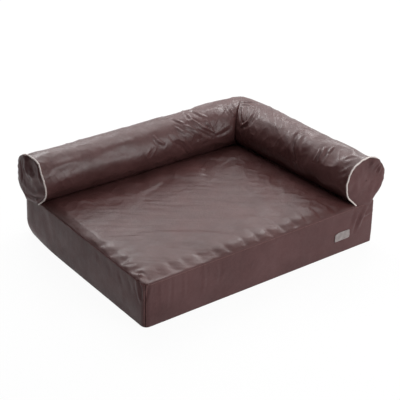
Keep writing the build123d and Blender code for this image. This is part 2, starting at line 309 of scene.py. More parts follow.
class Surface:
    """A grid of points with outward normals, on which strokes are drawn by pixel."""

    def __init__(self, points, inside):
        self.points = points
        self.normals = grid_normals(points)
        self.flipped = np.median(np.sum(self.normals * (points - inside), axis=2)) < 0
        if self.flipped:
            self.normals = -self.normals
        self.seen = np.sum(self.normals * (CAMERA_PLACE - points), axis=2) > 0
        self.across, self.down = to_pixels(points)
        self.lift = np.zeros(points.shape[:2])

    def pick(self, pixel):
        """The point on the seen side that is nearest to a pixel."""
        off = (self.across - pixel[0]) ** 2 + (self.down - pixel[1]) ** 2
        off = np.where(self.seen, off, np.inf)
        return self.points[np.unravel_index(np.argmin(off), off.shape)]

    def strokes(self, table, trough=0.35, wider=1.0, higher=1.0):
        """Raise a ridge or sink a groove along each path, with a shallow trough beside it."""
        for path, width, height in table:
            off, share = path_distance(self.points, np.array([self.pick(at) for at in path]))
            width = wider * width
            fade = np.sqrt(np.clip(np.sin(np.pi * np.clip(share, 0.04, 0.96)), 0, 1))
            ridge = bell(off, width) - trough * bell(off - 2 * width, width)
            self.lift += higher * height * fade * ridge

    def dent(self, pixel, width, height):
        """A round dent or bump at a pixel."""
        self.lift += height * bell(np.linalg.norm(self.points - self.pick(pixel), axis=2), width)

    def shaped(self):
        """The points after all strokes."""
        return self.points + self.normals * self.lift[:, :, None]


# Meshes


def make_mesh(name, points, faces, material, smooth=True):
    """A mesh object from millimetre points."""
    mesh = bpy.data.meshes.new(name)
    mesh.from_pydata((np.asarray(points) * MM).tolist(), [], faces)
    mesh.polygons.foreach_set("use_smooth", [smooth] * len(mesh.polygons))
    mesh.materials.append(material)
    mesh.update()
    piece = bpy.data.objects.new(name, mesh)
    bpy.context.scene.collection.objects.link(piece)
    return piece


def grid_faces(rows, columns, flipped=False, closed=False):
    """The faces of a grid of points, closed round its columns or not."""
    row, column = np.mgrid[: rows - 1, : columns if closed else columns - 1]
    near, far = row * columns + column, row * columns + (column + 1) % columns
    faces = np.stack([near, near + columns, far + columns, far], axis=2).reshape(-1, 4)
    return (faces[:, ::-1] if flipped else faces).tolist()


def end_caps(rings, sides, flipped=False):
    """The two faces that close the ends of a tube of points."""
    first = list(range(sides))
    last = [(rings - 1) * sides + corner for corner in reversed(first)]
    return [cap[::-1] if flipped else cap for cap in (first, last)]


def grid_piece(name, points, material, flipped=False):
    """A mesh object from a grid of points."""
    faces = grid_faces(*points.shape[:2], flipped)
    return make_mesh(name, points.reshape(-1, 3), faces, material)


def stand_in(node):
    """A piece takes a node's place: the node is hidden."""
    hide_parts(node)


def give_thickness(piece, thickness):
    """Give a sheet its thickness, inwards."""
    solidify = piece.modifiers.new("leather thickness", "SOLIDIFY")
    solidify.thickness = thickness * MM
    solidify.offset = -1


def cover_sheet(piece, thickness):
    """A cover panel is a sheet given its thickness, inwards, in millimetres."""
    give_thickness(piece, thickness)


def tube(name, path, radius, material):
    """A closed tube round a path of points."""
    turns = np.linspace(0, 2 * np.pi, PIPING_SIDES, endpoint=False)
    guide = UP
    rings = []
    for at, way in zip(path, unit(np.gradient(path, axis=0))):
        guide = unit(guide - way * (guide @ way))
        ring = np.outer(np.cos(turns), guide) + np.outer(np.sin(turns), np.cross(way, guide))
        rings.append(at + radius * ring)
    faces = grid_faces(len(path), PIPING_SIDES, flipped=True, closed=True)
    faces += end_caps(len(path), PIPING_SIDES)
    return make_mesh(name, np.concatenate(rings), faces, material)


def stitches_on(name, surface, tucks, rows, columns):
    """A row of short raised stitches on a grid, along one of its lines of points, as one piece."""
    shaped = surface.shaped() + tucks
    normals = grid_normals(shaped) * (-1 if surface.flipped else 1)
    before = passed_along(shaped[rows, columns])
    lines = np.concatenate([shaped[rows, columns], normals[rows, columns]], axis=1)
    rings = np.array(grid_faces(len(STITCH_PLACES), STITCH_SIDES, flipped=True, closed=True))
    caps = end_caps(len(STITCH_PLACES), STITCH_SIDES)
    turns = (2 * np.pi * np.arange(STITCH_SIDES) / STITCH_SIDES)[:, None]
    points, faces = [], []
    for index in range(int(before[-1] // STITCH_PITCH)):
        places = (index + STITCH_PLACES) * STITCH_PITCH
        here = np.stack([np.interp(places, before, line) for line in lines.T], axis=1)
        at, up = here[:, :3], unit(here[:, 3:])
        across = np.cross(unit(at[-1] - at[0]), up)
        ring = np.cos(turns) * up[:, None] + np.sin(turns) * across[:, None]
        first = index * ring.shape[0] * STITCH_SIDES
        points.append((at + up * STITCH_RISES)[:, None] + STITCH_THREAD * ring)
        faces += (first + rings).tolist() + [[first + corner for corner in cap] for cap in caps]
    piece = make_mesh(name, np.concatenate(points).reshape(-1, 3), faces, thread_fabric)


# Slack covers, settled by cloth simulation on a coarse net of each grid


def settle_cloth(points, held, growth, pressure, seed):
    """How each point of a cover cut a little too large moves, held where it is sewn down."""
    rows, columns = points.shape[:2]
    row, column = np.arange(rows)[:, None] / 5, np.arange(columns)[None, :] / 5
    uneven = 0.8 * np.stack([noise(row, column, seed + axis) for axis in range(3)], axis=2)
    start = points + np.where(held[:, :, None], 0, uneven)
    net = grid_piece("cloth_net", start, side_leather_painted_lighter)
    group = net.vertex_groups.new(name="held")
    group.add([int(index) for index in np.nonzero(held.ravel())[0]], 1.0, "REPLACE")
    cloth = net.modifiers.new("cloth", "CLOTH")
    cloth.collision_settings.use_collision = False
    settings = cloth.settings
    settings.quality = 5
    settings.mass = 0.02
    settings.tension_stiffness = 15
    settings.compression_stiffness = 15
    settings.shear_stiffness = 5
    settings.bending_stiffness = 3.0
    settings.vertex_group_mass = "held"
    settings.use_pressure = True
    settings.uniform_pressure_force = pressure
    settings.shrink_min = -growth
    settings.effector_weights.gravity = 0
    scene = bpy.context.scene
    for step in range(1, CLOTH_FRAMES + 1):
        scene.frame_set(step)
    settled = net.evaluated_get(bpy.context.evaluated_depsgraph_get())
    places = np.empty(rows * columns * 3)
    settled.data.vertices.foreach_get("co", places)
    scene.frame_set(1)
    mesh = net.data
    bpy.data.objects.remove(net)
    bpy.data.meshes.remove(mesh)
    return places.reshape(points.shape) / MM - start


def blend_weights(lines, count):
    """Weights that turn values on chosen grid lines into smooth values on all of them."""
    weights = np.zeros((count, len(lines)))
    for line in range(count):
        index = int(np.clip(np.searchsorted(lines, line, side="right") - 1, 0, len(lines) - 2))
        t = (line - lines[index]) / (lines[index + 1] - lines[index])
        for offset, weight in (
            (-1, -0.5 * t + t**2 - 0.5 * t**3),
            (0, 1 - 2.5 * t**2 + 1.5 * t**3),
            (1, 0.5 * t + 2 * t**2 - 1.5 * t**3),
            (2, -0.5 * t**2 + 0.5 * t**3),
        ):
            weights[line, int(np.clip(index + offset, 0, len(lines) - 1))] += weight
    return weights


def slack_moves(grid, held, growth, pressure, cap, seed, pick=(3, 4)):
    """The moves of a whole grid, from cloth settled on every few of its lines."""
    rows, columns = (
        np.unique(np.append(np.arange(0, size, step), size - 1))
        for size, step in zip(grid.shape, pick)
    )
    chosen = np.ix_(rows, columns)
    moves = settle_cloth(grid[chosen], held[chosen], growth, pressure, seed)
    for _ in range(2):
        moves[1:-1] = (moves[:-2] + 2 * moves[1:-1] + moves[2:]) / 4
        moves[:, 1:-1] = (moves[:, :-2] + 2 * moves[:, 1:-1] + moves[:, 2:]) / 4
    far = np.maximum(np.linalg.norm(moves, axis=2, keepdims=True), TINY)
    moves = moves / far * cap * np.tanh(far / cap)
    over_rows = blend_weights(rows, grid.shape[0])
    over_columns = blend_weights(columns, grid.shape[1])
    return np.einsum("ri,ijk,cj->rck", over_rows, moves, over_columns)


# Materials


class Tree:
    """A node tree, with short ways to add nodes and link them."""

    def __init__(self, node_tree):
        self.nodes, self.links = node_tree.nodes, node_tree.links

    def add(self, kind, **values):
        """A node, with values on its sockets."""
        node = self.nodes.new(kind)
        for name, value in values.items():
            node.inputs[name.replace("_", " ")].default_value = value
        return node

    def math(self, operation, first, second):
        """The result of a sum on two sockets, or on a socket and a number."""
        node = self.nodes.new("ShaderNodeMath")
        node.operation = operation
        self.links.new(first, node.inputs[0])
        if isinstance(second, float):
            node.inputs[1].default_value = second
        else:
            self.links.new(second, node.inputs[1])
        return node.outputs[0]

    def mix(self, factor, first, second):
        """A blend of two shaders."""
        node = self.nodes.new("ShaderNodeMixShader")
        for source, target in zip((factor, first, second), node.inputs):
            self.links.new(source, target)
        return node.outputs["Shader"]

    def looked_at(self):
        """1 for rays from the camera, also by reflection or through something clear."""
        rays = self.nodes.new("ShaderNodeLightPath").outputs
        bent = self.math("MAXIMUM", rays["Is Glossy Ray"], rays["Is Transmission Ray"])
        return self.math("MAXIMUM", rays["Is Camera Ray"], bent)


class Look(Tree):
    """A material with its shader and its nodes."""

    def __init__(self, name, color, roughness, specular=0.5, sheen=0.0):
        self.material = bpy.data.materials.new(name)
        self.material.use_nodes = True
        super().__init__(self.material.node_tree)
        self.shader = self.nodes["Principled BSDF"]
        self.shader.inputs["Base Color"].default_value = (*color, 1)
        self.shader.inputs["Roughness"].default_value = roughness
        self.shader.inputs["Specular IOR Level"].default_value = specular
        if sheen:
            self.shader.inputs["Sheen Weight"].default_value = sheen
            self.shader.inputs["Sheen Roughness"].default_value = 0.5

    def texture(self, kind, scale, stretch=(1, 1, 1), output="Fac", **values):
        """A texture in the object's own metres, with its own stretch."""
        place = self.nodes.new("ShaderNodeTexCoord")
        mapping = self.add("ShaderNodeMapping", Scale=stretch)
        self.links.new(place.outputs["Object"], mapping.inputs["Vector"])
        node = self.add(kind, Scale=scale, **values)
        self.links.new(mapping.outputs["Vector"], node.inputs["Vector"])
        return node.outputs[output]

    def color(self, source, low, high, dark, light):
        """Colour the surface by a texture, between two colours."""
        node = self.nodes.new("ShaderNodeValToRGB")
        for element, place, shade in zip(node.color_ramp.elements, (low, high), (dark, light)):
            element.position = place
            element.color = (*shade, 1)
        self.links.new(source, node.inputs["Fac"])
        self.links.new(node.outputs["Color"], self.shader.inputs["Base Color"])

    def bumps(self, *sources):
        """Chain bumps of given depths, in millimetres, and give back the finished material."""
        before = None
        for source, depth in sources:
            node = self.add("ShaderNodeBump", Distance=depth * MM, Strength=1)
            self.links.new(source, node.inputs["Height"])
            if before is not None:
                self.links.new(before, node.inputs["Normal"])
            before = node.outputs["Normal"]
        self.links.new(before, self.shader.inputs["Normal"])
        return self.material


NOISE = "ShaderNodeTexNoise"
VORONOI = "ShaderNodeTexVoronoi"


def leather(name, dark, light, roughness, grain=0.16, specular=0.5, crumpled=0.32):
    """Satin faux leather: cloudy colour, fine pebble grain, and a crumpled surface."""
    look = Look(name, light, roughness, specular)
    blend = look.add("ShaderNodeMix", Factor=0.3)
    clouds = look.texture(NOISE, 11, Detail=5, Roughness=0.6)
    look.links.new(clouds, blend.inputs["A"])
    look.links.new(look.texture(NOISE, 120, Detail=4, Roughness=0.65), blend.inputs["B"])
    look.color(blend.outputs["Result"], 0.325, 0.675, dark, light)
    gloss = look.add(
        "ShaderNodeMapRange",
        From_Min=0.3,
        From_Max=0.7,
        To_Min=roughness - 0.06,
        To_Max=roughness + 0.08,
    )
    look.links.new(look.texture(NOISE, 26, Detail=3), gloss.inputs["Value"])
    look.links.new(gloss.outputs["Result"], look.shader.inputs["Roughness"])
    return look.bumps(
        (look.texture(NOISE, 55, Detail=4, Roughness=0.55, Distortion=0.8), crumpled * 2.0),
        (look.texture(NOISE, 190, Detail=5, Roughness=0.6), crumpled),
        (look.texture(VORONOI, 620, output="Distance", Randomness=1.0), grain),
    )


def fabric(name, dark, light, thread, roughness=0.9, sheen=0.2, depth=0.15):
    """Woven cloth: two crossed sets of threads of a given width, in millimetres."""
    look = Look(name, light, roughness, 0.2, sheen)
    waves = []
    # at scale 1 a wave texture repeats every pi / 10, and here it spans two threads
    scale = 1 / (thread * MM) / 20 * math.pi
    for direction in ("X", "Y", "Z"):
        wave = look.texture("ShaderNodeTexWave", scale, Distortion=0.6)
        wave.node.bands_direction = direction
        waves.append(wave)
    weave = look.math("ADD", look.math("MULTIPLY", waves[0], waves[2]), waves[1])
    look.color(look.texture(NOISE, 60, Detail=4), 0.35, 0.65, dark, light)
    return look.bumps((weave, depth))


def metal(name, color, roughness):
    """Worn antique metal, with brushed scratches."""
    look = Look(name, color, roughness)
    look.shader.inputs["Metallic"].default_value = 1
    worn = [channel * 0.6 for channel in color]
    look.color(look.texture(NOISE, 300, Detail=5), 0.35, 0.7, worn, color)
    return look.bumps((look.texture(NOISE, 900, (1, 1, 0.1), Detail=3), 0.02))


def foam(name, dark, light, cell):
    """Open-cell foam, with fine pits that are painted darker, a painted shade in them."""
    look = Look(name, light, 0.95, 0.1)
    cells_with_pit_shade = look.texture(VORONOI, 1 / (cell * MM), output="Distance", Randomness=1.0)
    # the colour is darker where the bump sinks into a pit: painted shade
    look.color(cells_with_pit_shade, 0.1, 0.6, dark, light)
    return look.bumps((cells_with_pit_shade, cell * 0.4))


# one faux leather in three copies whose colours differ as painted light and shade: the copy for the
# sides and ends is painted lightest, the bolsters' copy darker and the top's copy darkest
side_leather_painted_lighter = leather(
    "side cover leather",
    (0.106, 0.047, 0.047),
    (0.166, 0.079, 0.079),
    0.42,
    specular=0.2,
    crumpled=0.22,
)
top_leather_painted_darker = leather(
    "top cover leather",
    (0.083, 0.032, 0.03),
    (0.137, 0.057, 0.054),
    0.38,
    specular=0.4,
    crumpled=0.3,
)
roll_leather_painted_darker = leather(
    "bolster cover leather", (0.09, 0.037, 0.035), (0.15, 0.069, 0.067), 0.33, crumpled=0.22
)
piping_leather = leather("piping leather", (0.95, 0.82, 0.77), (0.99, 0.91, 0.87), 0.5, grain=0.05)
patch_weave = fabric("patch weave", (0.36, 0.31, 0.3), (0.5, 0.44, 0.43), 0.7, 0.5, 0.2, 0.05)
base_fabric = fabric("base fabric", (0.018, 0.017, 0.017), (0.035, 0.032, 0.031), 0.9)
tape_fabric = fabric("zip tape", (0.028, 0.017, 0.015), (0.05, 0.03, 0.028), 0.6)
thread_fabric = fabric("sewing thread", (0.3, 0.12, 0.1), (0.46, 0.22, 0.19), 0.25, 0.6)
teeth_plastic = leather("zip teeth", (0.03, 0.018, 0.016), (0.055, 0.034, 0.03), 0.35, grain=0.03)
zip_metal = metal("zip metal", (0.3, 0.25, 0.2), 0.35)
support_foam = foam("support foam", (0.55, 0.54, 0.5), (0.78, 0.77, 0.73), 1.6)
memory_foam = foam("memory foam", (0.66, 0.6, 0.42), (0.86, 0.81, 0.62), 0.9)
fleece = fabric("cushion fleece", (0.7, 0.7, 0.68), (0.86, 0.86, 0.84), 1.4, 0.95, 0.5)


# The mattress's form

# Each corner's side in x and in y, its radius, and the turn at which its arc starts
corners = (
    (-1, -1, NEAR_CORNER, 180),
    (1, -1, FRONT_RIGHT_CORNER, 270),
    (1, 1, BACK_RIGHT_CORNER, 0),
    (-1, 1, BACK_LEFT_CORNER, 90),
)
# The crown's height by the distance inside its field, both as shares
CROWN_TABLE = (
    (0.0, 0.0),
    (0.053, 0.27),
    (0.107, 0.53),
    (0.155, 0.75),
    (0.2, 0.85),
    (0.267, 0.895),
    (0.53, 0.95),
    (1.0, 1.0),
)
# How far in and how high over the seam the top panel's first lines lie
SEAM_EDGE_PROFILE = ((2.9, -4.2), (2.1, -2.0), (1.8, -0.9), (2.6, 0.2), (4.2, 1.3), (7.0, 2.9))


def foot_of(radius, drop):
    """Half the width on which a bolster's section stands."""
    return (radius - drop * math.sin(NECK_ANGLE)) / math.cos(NECK_ANGLE)


def field_distance(x, y):
    """How far a place on the top lies inside the open field between edges and bolsters."""
    mitre_foot = foot_of(CORNER_RADIUS, corner_centre[2] - seat_level)
    side_foot = foot_of(side_bolster.radius, side_bolster.end[2] - seat_level)
    back_foot = foot_of(back_bolster.radius, back_bolster.end[2] - seat_level)
    inner = corner_centre[:2] - mitre_foot
    front_right = np.array((side_bolster.end[0] - side_foot, -half_width))
    back_left = np.array((-half_length, back_bolster.end[1] - back_foot))
    distances = [x + half_length, y + half_width]
    for start, end in ((front_right, inner), (inner, back_left)):
        way = (end - start) / np.linalg.norm(end - start)
        distances.append((x - start[0]) * -way[1] + (y - start[1]) * way[0])
    softness = 7.0
    total = sum(np.exp(-np.clip(d, -60, 400) / softness) for d in distances)
    return -softness * np.log(total)


def crown_at(x, y, drawn=0.0, inset=0.0):
    """How high the crown stands at a place on the top, lower where it is drawn in."""
    inside = np.clip(field_distance(x, y) - inset, 0, None)
    inside = inside * (1 - PUCKER_DRAW * drawn)
    return crown_height * smooth_table(CROWN_TABLE, inside / CROWN_REACH)


def side_reach(y, front_radius, back_radius, draw_in):
    """How far out a short side of the outline lies at each y."""
    reach = np.full(np.shape(y), half_length - draw_in)
    for radius, depth in (
        (front_radius - draw_in, y + half_width - draw_in),
        (back_radius - draw_in, half_width - draw_in - y),
    ):
        into = np.clip(radius - depth, 0, radius)
        reach = reach - (radius - np.sqrt(radius**2 - into**2))
    return reach


def band_path(first, second):
    """Places, points and outward ways along the outline, between two corner seams."""
    sx, sy, radius, start = corners[first]
    tx, ty, next_radius, next_start = corners[second]
    centre = np.array((sx * (half_length - radius), sy * (half_width - radius)))
    next_centre = np.array((tx * (half_length - next_radius), ty * (half_width - next_radius)))
    arc, next_arc = radius * math.pi / 4, next_radius * math.pi / 4
    straight = np.linalg.norm(next_centre - centre)
    places = spaced(arc + straight + next_arc, BAND_STEP, BAND_EDGES)
    points, ways = [], []
    for place in places:
        share = (place - arc) / straight
        if share < 0:
            turn = math.radians(start + 45) + place / radius
        elif share < 1:
            turn = math.radians(start + 90)
        else:
            turn = math.radians(next_start) + (place - arc - straight) / next_radius
        way = np.array((math.cos(turn), math.sin(turn)))
        share = min(max(share, 0), 1)
        reach = radius + (next_radius - radius) * share
        points.append(centre + (next_centre - centre) * share + way * reach)
        ways.append((*way, 0))
    return places, np.array(points), np.array(ways)


def outline_grid(rows, share, draw_in=0.0, right_extra=0.0):
    """Places inside the outline, by y and share of the length, and their depth from its ends."""
    y = np.broadcast_to(rows[:, None], (len(rows), len(share)))
    left = side_reach(y, NEAR_CORNER, BACK_LEFT_CORNER, draw_in)
    right = side_reach(y, FRONT_RIGHT_CORNER + right_extra, BACK_RIGHT_CORNER, draw_in)
    x = -left + (left + right) * share[None, :]
    return x, y, np.minimum(x + left, right - x)


# Pixels on the top seam where the cover is drawn in, how much, and how broadly
FRONT_PUCKERS = (
    (151, 284.0, 0.5, 12),
    (164, 279.0, 0.9, 13),
    (180, 273.0, 1.0, 12),
    (193.5, 267.6, 0.7, 11),
    (207, 262.6, 1.0, 12),
    (220, 257.8, 0.7, 10),
    (232, 253.2, 0.9, 10),
    (247, 247.6, 1.0, 9),
    (260.5, 242.6, 1.0, 9),
    (273.5, 237.8, 1.0, 9),
    (286, 233.2, 1.0, 9),
    (298.3, 228.8, 1.0, 9),
    (310.5, 224.4, 1.0, 9),
    (324, 219.4, 0.9, 9),
    (338, 214.4, 0.7, 9),
)
LEFT_PUCKERS = (
    (131, 272.5, 0.7, 11),
    (121, 265.5, 0.8, 11),
    (110, 257.2, 0.6, 13),
    (98, 248.4, 0.6, 12),
    (84, 239.2, 0.5, 14),
    (68, 226.2, 0.4, 14),
)


def on_seam_level(pixel):
    """Where a pixel's line of sight meets the level of the top seam."""
    way = (
        CAMERA_RIGHT * (pixel[0] - PICTURE / 2)
        - CAMERA_UP * (pixel[1] - PICTURE / 2)
        - CAMERA_BACK * FOCAL_PIXELS
    )
    return CAMERA_PLACE + way * (seam_height - CAMERA_PLACE[2]) / way[2]


def from_ends(count):
    """How many lines each of a grid's lines lies from the nearer end."""
    lines = np.arange(count)
    return np.minimum(lines, lines[::-1])


def pucker_draw(x, y):
    """How much the seams' puckers draw in the crown at each place."""
    drawn = np.zeros_like(x)
    for puckers, axis, place, inwards in (
        (FRONT_PUCKERS, 0, x, y + half_width),
        (LEFT_PUCKERS, 1, y, x + half_length),
    ):
        for across_px, down_px, amount, breadth in puckers:
            at = on_seam_level((across_px, down_px))[axis]
            skewed = place - at - 0.2 * inwards * math.sin(across_px)
            drawn = np.maximum(drawn, amount * (bell(skewed, breadth) * bell(inwards, 75)))
    # a wide hollow between two pixels of the front seam
    wide = ease((x - on_seam_level((146, 286))[0]) / 40)
    wide = wide * ease((on_seam_level((228, 254.7))[0] - x) / 60)
    wide = wide * bell(y + half_width, 90)
    return drawn * (1 - 0.4 * wide) + 1.15 * wide


def make_top():
    """The top panel: crowned, puckered along its open seams and rippled by its own slack."""
    edges, rises = np.array(SEAM_EDGE_PROFILE).T
    count = len(edges)
    # even lines, but for those of the edge profile next to each seam
    lines = []
    for half in (half_width, half_length):
        line = spaced(2 * half, TOP_STEP, np.append(np.arange(count), (10.0, 13.0)))
        line[:count] = edges
        line[-count:] = 2 * half - edges[::-1]
        lines.append(line)
    rows, columns = lines
    x, y, _ = outline_grid(rows - half_width, columns / (2 * half_length))
    ring = np.minimum.outer(from_ends(len(rows)), from_ends(len(columns)))
    drawn = pucker_draw(x, y)
    crown = crown_at(x, y, drawn)
    rim = rises[np.clip(ring, 0, count - 1)]
    z = np.where(ring < count, np.minimum(rim, np.maximum(crown, rim * (rim < 0.6))), crown)
    points = np.stack([x, y, seam_height + z], axis=2)
    inside = field_distance(x, y)
    fade = ease(inside / 12) * (ring >= count - 1)
    held = (ring < count) | (inside < 6)
    moves = slack_moves(points, held, TOP_GROWTH, TOP_PRESSURE, TOP_CAP, 70, (3, 3))
    surface = Surface(points + moves * fade[:, :, None], np.array((0, 0, -1000.0)))

    # ripples run across the picture, level in it
    ripple_way = unit(CAMERA_RIGHT[:2])
    along = x * ripple_way[0] + y * ripple_way[1]
    across = y * ripple_way[0] - x * ripple_way[1]
    sway = 9 * noise(along / 140, across / 90, 11)
    ripples = noise(along / 105, (across + sway) / 12, 12)
    ripples = ripples + 0.6 * noise(along / 60, (across + sway) / 7, 13)
    strength = 0.2 + 0.16 * noise(x / 150, y / 130, 14) + 0.3 * ease((-x - 20) / 260)
    surface.lift += fade * ripples * np.clip(strength, 0, 1)
    surface.lift += fade * 1.5 * rough(x / 110, y / 110, 15)
    # looser dimples towards the bolsters
    to_roll = np.minimum(half_length - 150 - x, half_width - 165 - y)
    loose = ease(1.1 - to_roll / 190) * ease(inside / 30)
    dimples = 1 - np.abs(noise((x + 0.4 * y) / 38, (y - 0.6 * x) / 30, 17))
    surface.lift += fade * loose * (1.3 * dimples**3 + 0.9 * rough(x / 34, y / 28, 16))
    surface.lift -= 1.1 * np.clip(drawn, 0, 1) * ease(inside / 14)

    # the near corner's gathered knob, and the welt along the left seam towards the bolster
    surface.dent((140.9, 275.8), 5.5, 3.6)
    knob = (
        (((134, 272.5), (139.5, 272.2), (146, 274)), 4.5, -2.4),
        (((146, 277), (148.5, 279.5), (150, 283)), 4.5, -1.4),
    )
    surface.strokes(knob, 0.2)
    surface.strokes(((((40, 203.5), (55, 214.2), (70, 227), (84, 239)), 3.2, 1.5),), 0.5)
    surface.lift = np.where(ring < count - 1, surface.lift * (ring / count) ** 2, surface.lift)
    return surface


def tuck_low_corner(points):
    """Draw in the mattress's lower back left corner, as the photograph shows it."""
    corner = np.array((-half_length, half_width))
    off = np.linalg.norm(points[..., :2] - corner, axis=-1)
    low = np.clip(1 - points[..., 2] / 48, 0, 1) ** 2
    amount = LOW_CORNER_TUCK * bell(off, 105) * low
    return points + amount[..., None] * np.array((0.8, -0.6, 0.0))


def make_band(first, second, low=0.0, high=seam_height):
    """One side of the cover, bulged and gathered a little, and how its edges are tucked in."""
    places, outline, ways = band_path(first, second)
    heights = low + spaced(high - low, BAND_STEP, BAND_EDGES)
    z, s = np.meshgrid(heights, places, indexing="ij")
    points = np.stack([*(np.broadcast_to(line, z.shape) for line in outline.T), z], axis=2)
    from_seam = np.minimum(s, places[-1] - s)
    below = seam_height - z
    tuck = np.maximum(bell(high - z, 1.5) + bell(z - low, 1.5), 0.8 * bell(from_seam, 1.3))
    whole = ease(z / 40) * ease(below / 30)
    bulge = 2.2 * np.sin(np.pi * np.clip(z / seam_height, 0, 1)) ** 0.8
    seed = 40 + 10 * first
    streaks = noise(s / 34, z / 150 + 7, seed) + 0.35 * noise(s / 13, z / 110, seed + 1)
    patches = rough(s / 130, z / 100, seed + 2)
    gathers = noise(s / 16, z / 80, seed + 3) * np.exp(-(below / 24))
    lift = bulge * ease(from_seam / 60) + 0.3 * streaks * whole + 0.8 * patches * whole
    lift += 0.7 * gathers * ease(below / 6)
    lift += 0.35 * noise(s / 22, z / 60, seed + 4) * np.exp(-(z / 18)) * ease(z / 4)
    shaped = tuck_low_corner(points + ways * lift[:, :, None])
    surface = Surface(shaped, np.array((0, 0, seam_height / 2)))
    return surface, ways * (-SEAM_TUCK * tuck)[:, :, None]


def make_base():
    """The base panel: a flat sheet whose edge is drawn up a little into its seam."""
    rows = np.concatenate([[0, 2, 5], np.linspace(12, 2 * half_width - 12, 70)])
    rows = np.concatenate([rows, 2 * half_width - np.array((5, 2, 0))]) - half_width
    share = np.concatenate([[0, 0.0025, 0.006], np.linspace(0.015, 0.985, 90)])
    x, y, inward = outline_grid(rows, np.concatenate([share, [0.994, 0.9975, 1]]))
    inward = np.minimum(inward, half_width - np.abs(y))
    shrink = 1 - 1.2 / half_width
    slack = 0.3 * (1 + noise(x / 60, y / 60, 31)) * ease(inward / 20)
    points = np.stack([x * shrink, y * shrink, 1.6 * bell(inward, 4) + slack], axis=2)
    return grid_piece("mattress_base_cover", tuck_low_corner(points), base_fabric)


# Streaks and creases of the front and left bands, each with its path, width and height
FRONT_CREASES = (
    (((171, 277), (171.5, 292), (170.5, 306)), 5, -1.1),
    (((184, 272), (184.5, 287), (183.5, 300)), 5, 0.9),
    (((204, 265), (205, 280), (203.5, 293)), 5, 1.0),
    (((220, 259), (221, 272), (219, 285)), 6, -0.9),
    (((161, 281), (161, 300)), 5, 0.8),
    (((146.5, 281.5), (144.5, 289), (142.5, 297)), 3.2, 2.4),
    (((150, 284), (147.5, 291), (144, 301)), 3.6, -2.4),
    (((358, 209.5), (355, 217), (352.5, 226)), 6, 2.6),
    (((364, 208), (359, 218), (354, 232)), 5, -3.0),
    (((367, 205.5), (362.5, 214), (358, 226)), 5, 2.6),
    (((372, 211), (366.5, 213.5), (361, 218)), 4, 2.0),
    (((351.5, 209.5), (354.5, 209.6)), 2.5, 1.6),
    (((253, 262), (251, 268)), 3, 0.8),
    (((277, 241), (271, 244)), 3, 0.7),
)
LEFT_CREASES = (
    (((138.5, 280.5), (140, 288), (141.5, 298)), 4.5, -4.5),
    (((135.5, 281), (137.5, 290), (140, 302)), 4.0, 1.8),
    (((128, 279), (130, 286), (131, 292)), 7, -0.8),
    (((119, 272), (121, 279), (122, 285)), 7, -0.8),
    (((108, 263), (110, 270), (111, 277)), 8, -0.7),
    (((97, 253), (99, 261)), 8, -0.6),
    (((45, 212), (47, 224), (51, 238)), 14, -0.7),
)

base_piece = make_base()
stand_in("base_panel")
cover_sheet(base_piece, BASE_CLOTH)

tape_low = node_box("mattress_zip_tape_lower")
tape_high = node_box("mattress_zip_tape_upper")
zip_level = (tape_low[0][2] + tape_high[1][2]) / 2
zip_start, zip_end = tape_low[0][0], tape_low[1][0]
tape_half = (tape_high[1][2] - tape_low[0][2]) / 2

front, left, right = make_band(0, 1), make_band(3, 0), make_band(1, 2)
back_lower, back_upper = make_band(2, 3, 0.0, zip_level), make_band(2, 3, zip_level)
front[0].strokes(FRONT_CREASES)
left[0].strokes(LEFT_CREASES)

top_surface = make_top()
top_points = top_surface.shaped()
top_piece = grid_piece("mattress_top_cover", top_points, top_leather_painted_darker, top_surface.flipped)
stand_in("top_panel")
cover_sheet(top_piece, LEATHER)

# the back's halves lie flat round their zip and dip under its tapes
for surface, tucks in (back_lower, back_upper):
    x, y, z = np.moveaxis(surface.points, 2, 0)
    off = tape_half - np.abs(z - zip_level)
    under = within(x, zip_start, zip_end, 1, 2.5) * ease((off + 0.9) / 1.6)
    flat = ease((off + 26) / 20) * within(x, zip_start, zip_end, 25, 20)
    surface.points[:, :, 1] -= (y + surface.lift - half_width) * flat + ZIP_SINK * under
    tucks *= 1 - under[:, :, None]

# each seam's stitches lie on the fourth line of points from it
every = slice(None)
for name, band, rows, columns in (
    ("front_top_stitches", front, -4, every),
    ("left_top_stitches", left, -4, every),
    ("right_top_stitches", right, -4, every),
    ("back_top_stitches", back_upper, -4, every),
    ("near_corner_stitches_right", front, every, 3),
    ("near_corner_stitches_left", left, every, -4),
    ("front_right_stitches_left", front, every, -4),
    ("front_right_stitches_right", right, every, 3),
    ("back_left_stitches", left, every, 3),
):
    stitches_on(name, *band, rows, columns)
for name, band, offset in (
    ("mattress_zip_stitches_lower", back_lower, -ZIP_STITCHES_OFF),
    ("mattress_zip_stitches_upper", back_upper, ZIP_STITCHES_OFF),
):
    points = band[0].points
    rows = int(np.argmin(np.abs(points[:, 0, 2] - zip_level - offset)))
    beside = np.nonzero((points[rows, :, 0] > zip_start) & (points[rows, :, 0] < zip_end))[0]
    stitches_on(name, *band, rows, slice(beside[0], beside[-1] + 1))

for name, band, node in (
    ("front_side_cover", front, "front_band"),
    ("left_side_cover", left, "left_band"),
    ("right_side_cover", right, "right_band"),
    ("back_side_cover_lower", back_lower, "back_band_lower"),
    ("back_side_cover_upper", back_upper, "back_band_upper"),
):
    surface, tucks = band
    points = surface.shaped() + tucks
    points[:, :, 2] = np.maximum(points[:, :, 2], LEAST_HEIGHT)
    piece = grid_piece(name, points, side_leather_painted_lighter, surface.flipped)
    stand_in(node)
    cover_sheet(piece, LEATHER)


# Bolsters


